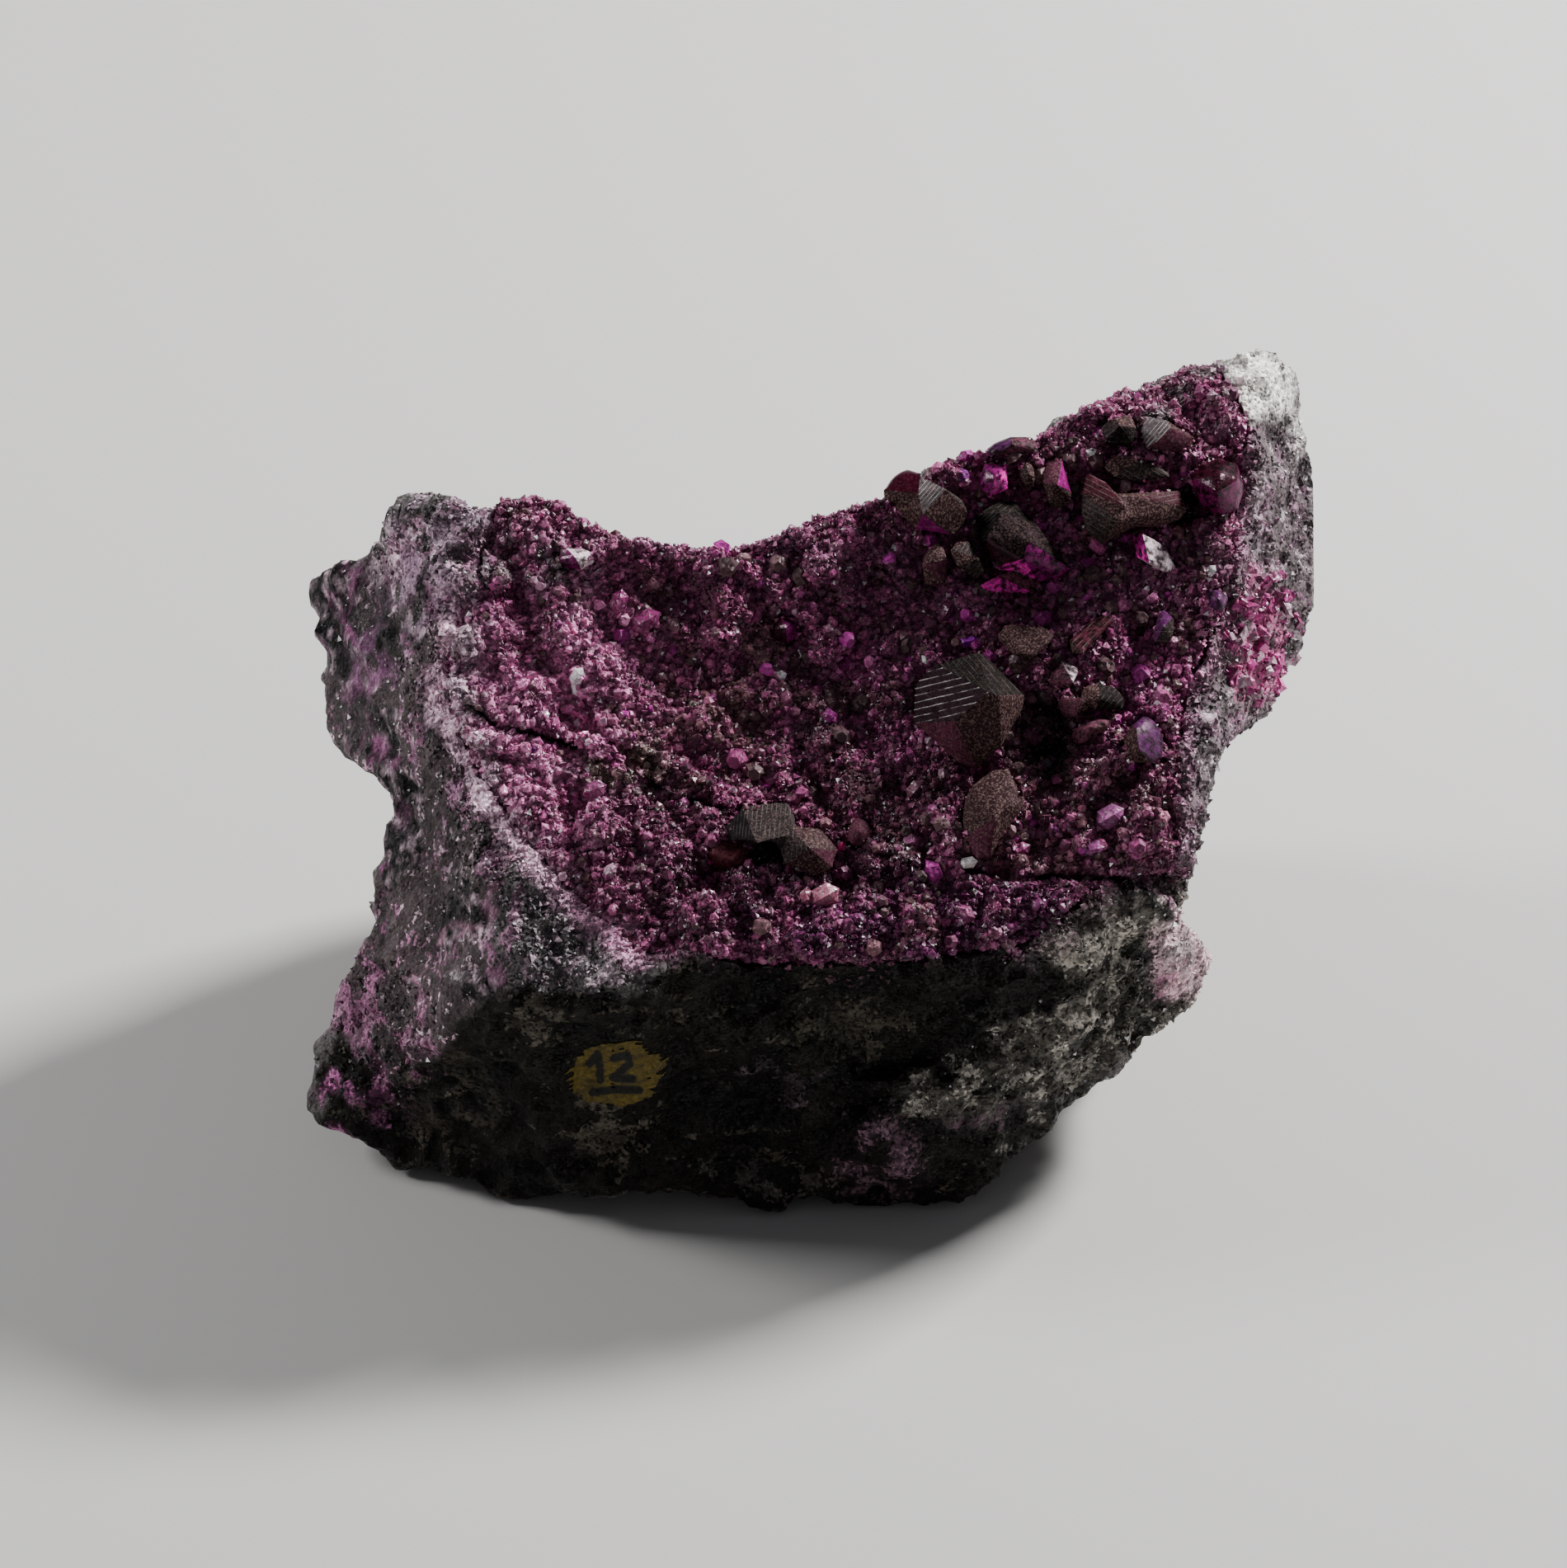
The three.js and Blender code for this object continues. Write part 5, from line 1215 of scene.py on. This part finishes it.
# Spots whose steps are higher than this get the finer of the two nets, by their longest edges.
LEAST_STEP = 0.055
STEP_NET = 0.15
PLAIN_NET = 0.6
MOST_CUTS = 8
# Faces within this angle of each other are one face.
SAME_FACE = math.radians(2)
# How many times a face's inside is smoothed, and then the whole crystal
ROUNDINGS = 8
RIM_ROUNDINGS = 1
# Stands for the points on the rim between two spots
RIM = -1
# Grains grow over the crystals up to this distance from the crust.
BASE_REACH = 1.1

# How each slot's crystals let light through: its transmission, gloss, and the colour and strength
# of what they absorb per metre
CRYSTALS = {
    "frosted": (0.0, 0.05, None, 0),
    "wine": (0.45, 0.03, (0.8, 0.08, 0.3), 600),
    "magenta": (0.55, 0.15, (0.95, 0.15, 0.7), 300),
    "violet": (0.35, 0.08, (0.7, 0.25, 0.8), 300),
}
CRYSTAL_GLOSS_TINT = (0.85, 0.55, 0.7, 1)
DUST_TONE = (0.175, 0.115, 0.1)
# Painted highlight: the pale lines' tone, for light caught on the edges of growth steps and striations.
STEP_HIGHLIGHT_TONE = (0.48, 0.44, 0.44)
# The range of a clear crystal's brightness, bright in some places and dark in others, as painted highlight
# for light caught inside it, and a dull one's
CLEAR_HIGHLIGHT_PATCHES = (0.4, 0.6, 0.1, 2.0)
DULL_DEPTH = (0.3, 0.7, 0.6, 1.5)


def crystal_material(slot, clear):
    """A crystal's dusty faces, or its clear ones, which let light in."""
    transmission, gloss, absorbs, density = CRYSTALS[slot]
    looks = Looks(slot + ("_crystal_clear" if clear else "_crystal_dusty"))
    wander = looks.spread(looks.noise(0.6, 1), 0.0, 1.0, -0.1, 0.1)
    wave = looks.math("FRACT", looks.math("ADD", looks.attribute("rise", "Fac"), wander))
    patch = looks.spread(looks.noise(0.7, 3), 0.4, 0.58)
    # Painted highlight: pale lines along the edges of the steps and striations, in patches, where light
    # catches them.
    line = looks.times(looks.spread(wave, 0.8, 0.93), patch)
    line = looks.times(line, looks.attribute("step_highlight", "Fac"))
    frost = looks.noise(4.6, 2, 0.7)
    dust = looks.times(looks.spread(frost, 0.5, 0.62), looks.attribute("dust", "Fac"))
    # On the clear slots this is painted highlight: bright patches for light caught inside the crystal.
    depth = looks.spread(looks.noise(1.5, 3), *(CLEAR_HIGHLIGHT_PATCHES if absorbs else DULL_DEPTH))
    colour = looks.shaded(looks.attribute("tone"), looks.times(depth, looks.grain_shade(5.0, 0.7, 1.3)))
    colour = looks.mix(line, looks.mix(dust, colour, DUST_TONE), STEP_HIGHLIGHT_TONE)
    normal = looks.bump(wave, 0.05, 0.25, looks.bump(frost, 0.03, 0.6))
    rough = looks.math("ADD", looks.attribute("rough", "Fac"), looks.times(dust, 0.3))
    looks.shade(Base_Color=colour, IOR=1.58, Roughness=rough, Normal=normal,
                Specular_IOR_Level=gloss, Specular_Tint=CRYSTAL_GLOSS_TINT)
    if clear:
        looks.shade(Transmission_Weight=transmission)
        inside = looks.node("VolumeAbsorption", {"Color": (*absorbs, 1), "Density": density})
        looks.set(looks.output.inputs["Volume"], inside.outputs[0])
    return looks.material


def split_long_edges(bm, stepped):
    """Cuts edges until none is longer than the net asks, finer on the stepped faces."""
    for _ in range(MOST_CUTS):
        edges = []
        for edge in bm.edges:
            fine = any(face.material_index in stepped for face in edge.link_faces)
            if edge.calc_length() > (STEP_NET if fine else PLAIN_NET) * MM:
                edges.append(edge)
        if not edges:
            return
        bmesh.ops.subdivide_edges(bm, edges=edges, cuts=1)
        bmesh.ops.triangulate(bm, faces=[f for f in bm.faces if len(f.verts) > 3])


def rounded(points, triangles, free, times):
    """The points with the free ones drawn to their neighbours' middle, over and over."""
    starts = triangles.ravel()
    ends = triangles[:, [1, 2, 0]].ravel()
    pairs = [(starts, ends), (ends, starts)]
    count = sum(np.bincount(own, minlength=len(points)) for own, _ in pairs)
    for _ in range(times):
        total = np.zeros_like(points)
        for axis in range(3):
            total[:, axis] = sum(np.bincount(own, points[other, axis], len(points)) for own, other in pairs)
        middle = total / np.maximum(count, 1)[:, None]
        points = np.where(free[:, None], 0.4 * points + 0.6 * middle, points)
    return points


def crystal_net(node):
    """A crystal's points and triangles, and the number of each triangle's spot."""
    bm = welded(node)
    bmesh.ops.dissolve_limit(bm, angle_limit=SAME_FACE, verts=bm.verts, edges=bm.edges)
    bm.normal_update()
    spots = SPOTS[node]
    spot_places = [spot[:2] for spot in spots]
    for face in bm.faces:
        away = lengths(plane_of(np.array([face.calc_center_median()]) / MM) - spot_places)
        face.material_index = int(np.argmin(away))
    bmesh.ops.triangulate(bm, faces=bm.faces)
    stepped = {index for index, spot in enumerate(spots) if FACE_LOOKS[spot[2]][5] > LEAST_STEP}
    split_long_edges(bm, stepped)
    bm.verts.index_update()
    region = np.array([f.material_index for f in bm.faces])
    triangles = np.array([[v.index for v in f.verts] for f in bm.faces])
    points = np.array([v.co for v in bm.verts]) / MM
    bm.free()
    return points, triangles, region


def make_crystal(node, slot, dusty, clear):
    """A crystal in place of its CAD node. Flat faces that share a spot become one gently bent face."""
    points, triangles, region = crystal_net(node)
    lowest = np.full(len(points), len(SPOTS[node]))
    highest = np.full(len(points), RIM)
    np.minimum.at(lowest, triangles, region[:, None])
    np.maximum.at(highest, triangles, region[:, None])
    own = np.where(lowest == highest, lowest, RIM)
    inner = own != RIM
    points = rounded(points, triangles, inner, ROUNDINGS)
    points = rounded(points, triangles, np.ones(len(points), bool), RIM_ROUNDINGS)

    # The steps and their painted highlight lines climb at their angle in the picture plane.
    _, _, names, angles = zip(*SPOTS[node])
    looks = [FACE_LOOKS[name] for name in names]
    tones, dust, step_highlight, rough, pitch, height = (np.array(column) for column in zip(*looks))
    angles = np.radians(angles)
    climb = (np.outer(np.cos(angles), UP) - np.outer(np.sin(angles), RIGHT)) / pitch[:, None]
    rise = (points[triangles] * climb[region][:, None]).sum(2)
    wave = (points * climb[own]).sum(1) % 1.0
    depth = height[own] * (1 - wave) * (0.7 + 0.3 * noise(points, 1.1, 160)) * inner
    moved = kept_in_box(points - point_normals(points, triangles) * depth[:, None])

    # Slivers that the cutting has listed twice are taken once, always the first of the two.
    _, first = np.unique(np.sort(triangles, 1), axis=0, return_index=True)
    first.sort()
    region = region[first]
    mesh = make_mesh(node + "_faces", moved, triangles[first])
    add_colour(mesh, "tone", np.repeat(tones[region], 3, 0), "CORNER")
    add_value(mesh, "rise", rise[first].ravel(), "CORNER")
    for key, values in (("dust", dust), ("step_highlight", step_highlight), ("rough", rough)):
        add_value(mesh, key, np.repeat(values[region], 3), "CORNER")
    crystal = add_object(node + "_faces", mesh, dusty, slot)
    if clear:
        lets_in = np.array([name in CLEAR_LOOKS for name in names], np.int32)
        mesh.materials.append(clear)
        mesh.polygons.foreach_set("material_index", lets_in[region])
    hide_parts(node)
    return moved, triangles


def make_base_grains(crystals, crust, material):
    """Grains that have grown over the crystals where they come out of the crust."""
    tree = KDTree(len(crust.points))
    for index, point in enumerate(crust.points):
        tree.insert(point, index)
    tree.balance()
    away = np.array([tree.find(centre)[2] for centre in crystals.centres])
    wanted = 1 - smoothstep(away, 0.3 * BASE_REACH, BASE_REACH)
    wanted = wanted * smoothstep(crystals.facing, -0.4, 0.1)
    grains = Grains(crystals, wanted, per_mm2=6.0, seed=120)
    grains.size(radius=0.21, spread=0.35)
    grains.lean(0.6)
    grains.tones = shaded_crust_tones(grains.places, np.full(grains.count, 0.45))
    grains.vary()
    grains.build("crystal_base_grains", "block", material)


def make_crystals(crust, grain_material):
    slots = {p["node"]: p["material_slot"] for p in frame["record"]["subparts"]}
    dusty = {slot: crystal_material(slot, False) for slot in CRYSTALS}
    clear = {slot: crystal_material(slot, True) for slot in CRYSTALS if CRYSTALS[slot][0] > 0}
    all_points, all_faces, count = [], [], 0
    for node in SPOTS:
        slot = slots[node]
        points, faces = make_crystal(node, slot, dusty[slot], clear.get(slot))
        all_points.append(points)
        all_faces.append(faces + count)
        count += len(points)
    crystals = Surface(np.concatenate(all_points), np.concatenate(all_faces))
    make_base_grains(crystals, crust, grain_material)


# Floor, lights and camera

def make_stage():
    mesh = bpy.data.meshes.new("floor")
    bm = bmesh.new()
    bmesh.ops.create_grid(bm, x_segments=1, y_segments=1, size=FLOOR_SIZE)
    bm.to_mesh(mesh)
    bm.free()
    floor = bpy.data.objects.new("floor", mesh)
    bpy.context.scene.collection.objects.link(floor)
    floor.location.z = -FLOOR_GAP
    looks = Looks("floor")
    looks.shade(Base_Color=(*FLOOR_TONE, 1), Roughness=FLOOR_ROUGHNESS)
    mesh.materials.append(looks.material)

    world = bpy.data.worlds.new("studio")
    bpy.context.scene.world = world
    world.use_nodes = True
    sky = world.node_tree.nodes["Background"].inputs
    sky["Color"].default_value = (*SKY_TONE, 1)
    sky["Strength"].default_value = SKY_STRENGTH

    for name, (place, size, power) in LIGHTS.items():
        data = bpy.data.lights.new(name, "AREA")
        data.shape = "RECTANGLE"
        data.size, data.size_y = size
        data.energy = power
        light = bpy.data.objects.new(name, data)
        bpy.context.scene.collection.objects.link(light)
        light.location = place
        light.rotation_mode = "QUATERNION"
        light.rotation_quaternion = (Vector(LIGHT_AIM) - Vector(place)).to_track_quat("-Z", "Y")


def make_camera():
    data = bpy.data.cameras.new("camera")
    data.sensor_fit = "HORIZONTAL"
    data.sensor_width = SENSOR
    data.lens = SENSOR * LOOK_DISTANCE / VIEW_WIDTH
    data.clip_start, data.clip_end = CLIP_METRES
    camera = bpy.data.objects.new("camera", data)
    bpy.context.scene.collection.objects.link(camera)
    place = (RIGHT * LOOK_CENTRE[0] + UP * LOOK_CENTRE[1] + NEAR * LOOK_DISTANCE - PLANE_ORIGIN) * MM
    rows = np.stack([RIGHT, UP, NEAR, place], 1).tolist()
    camera.matrix_world = Matrix([*rows, [0, 0, 0, 1]])
    bpy.context.scene.camera = camera


make_camera()
make_stage()
rock = make_rock()
crust = make_crust()
grain_material = crust_material("crust_grains")
make_crust_grains(crust, grain_material)
make_coarse_grains(crust)
make_rock_grains(rock)
make_rose_lumps(rock)
make_glints((rock, crust))
make_flakes(crust)
make_crystals(crust, grain_material)
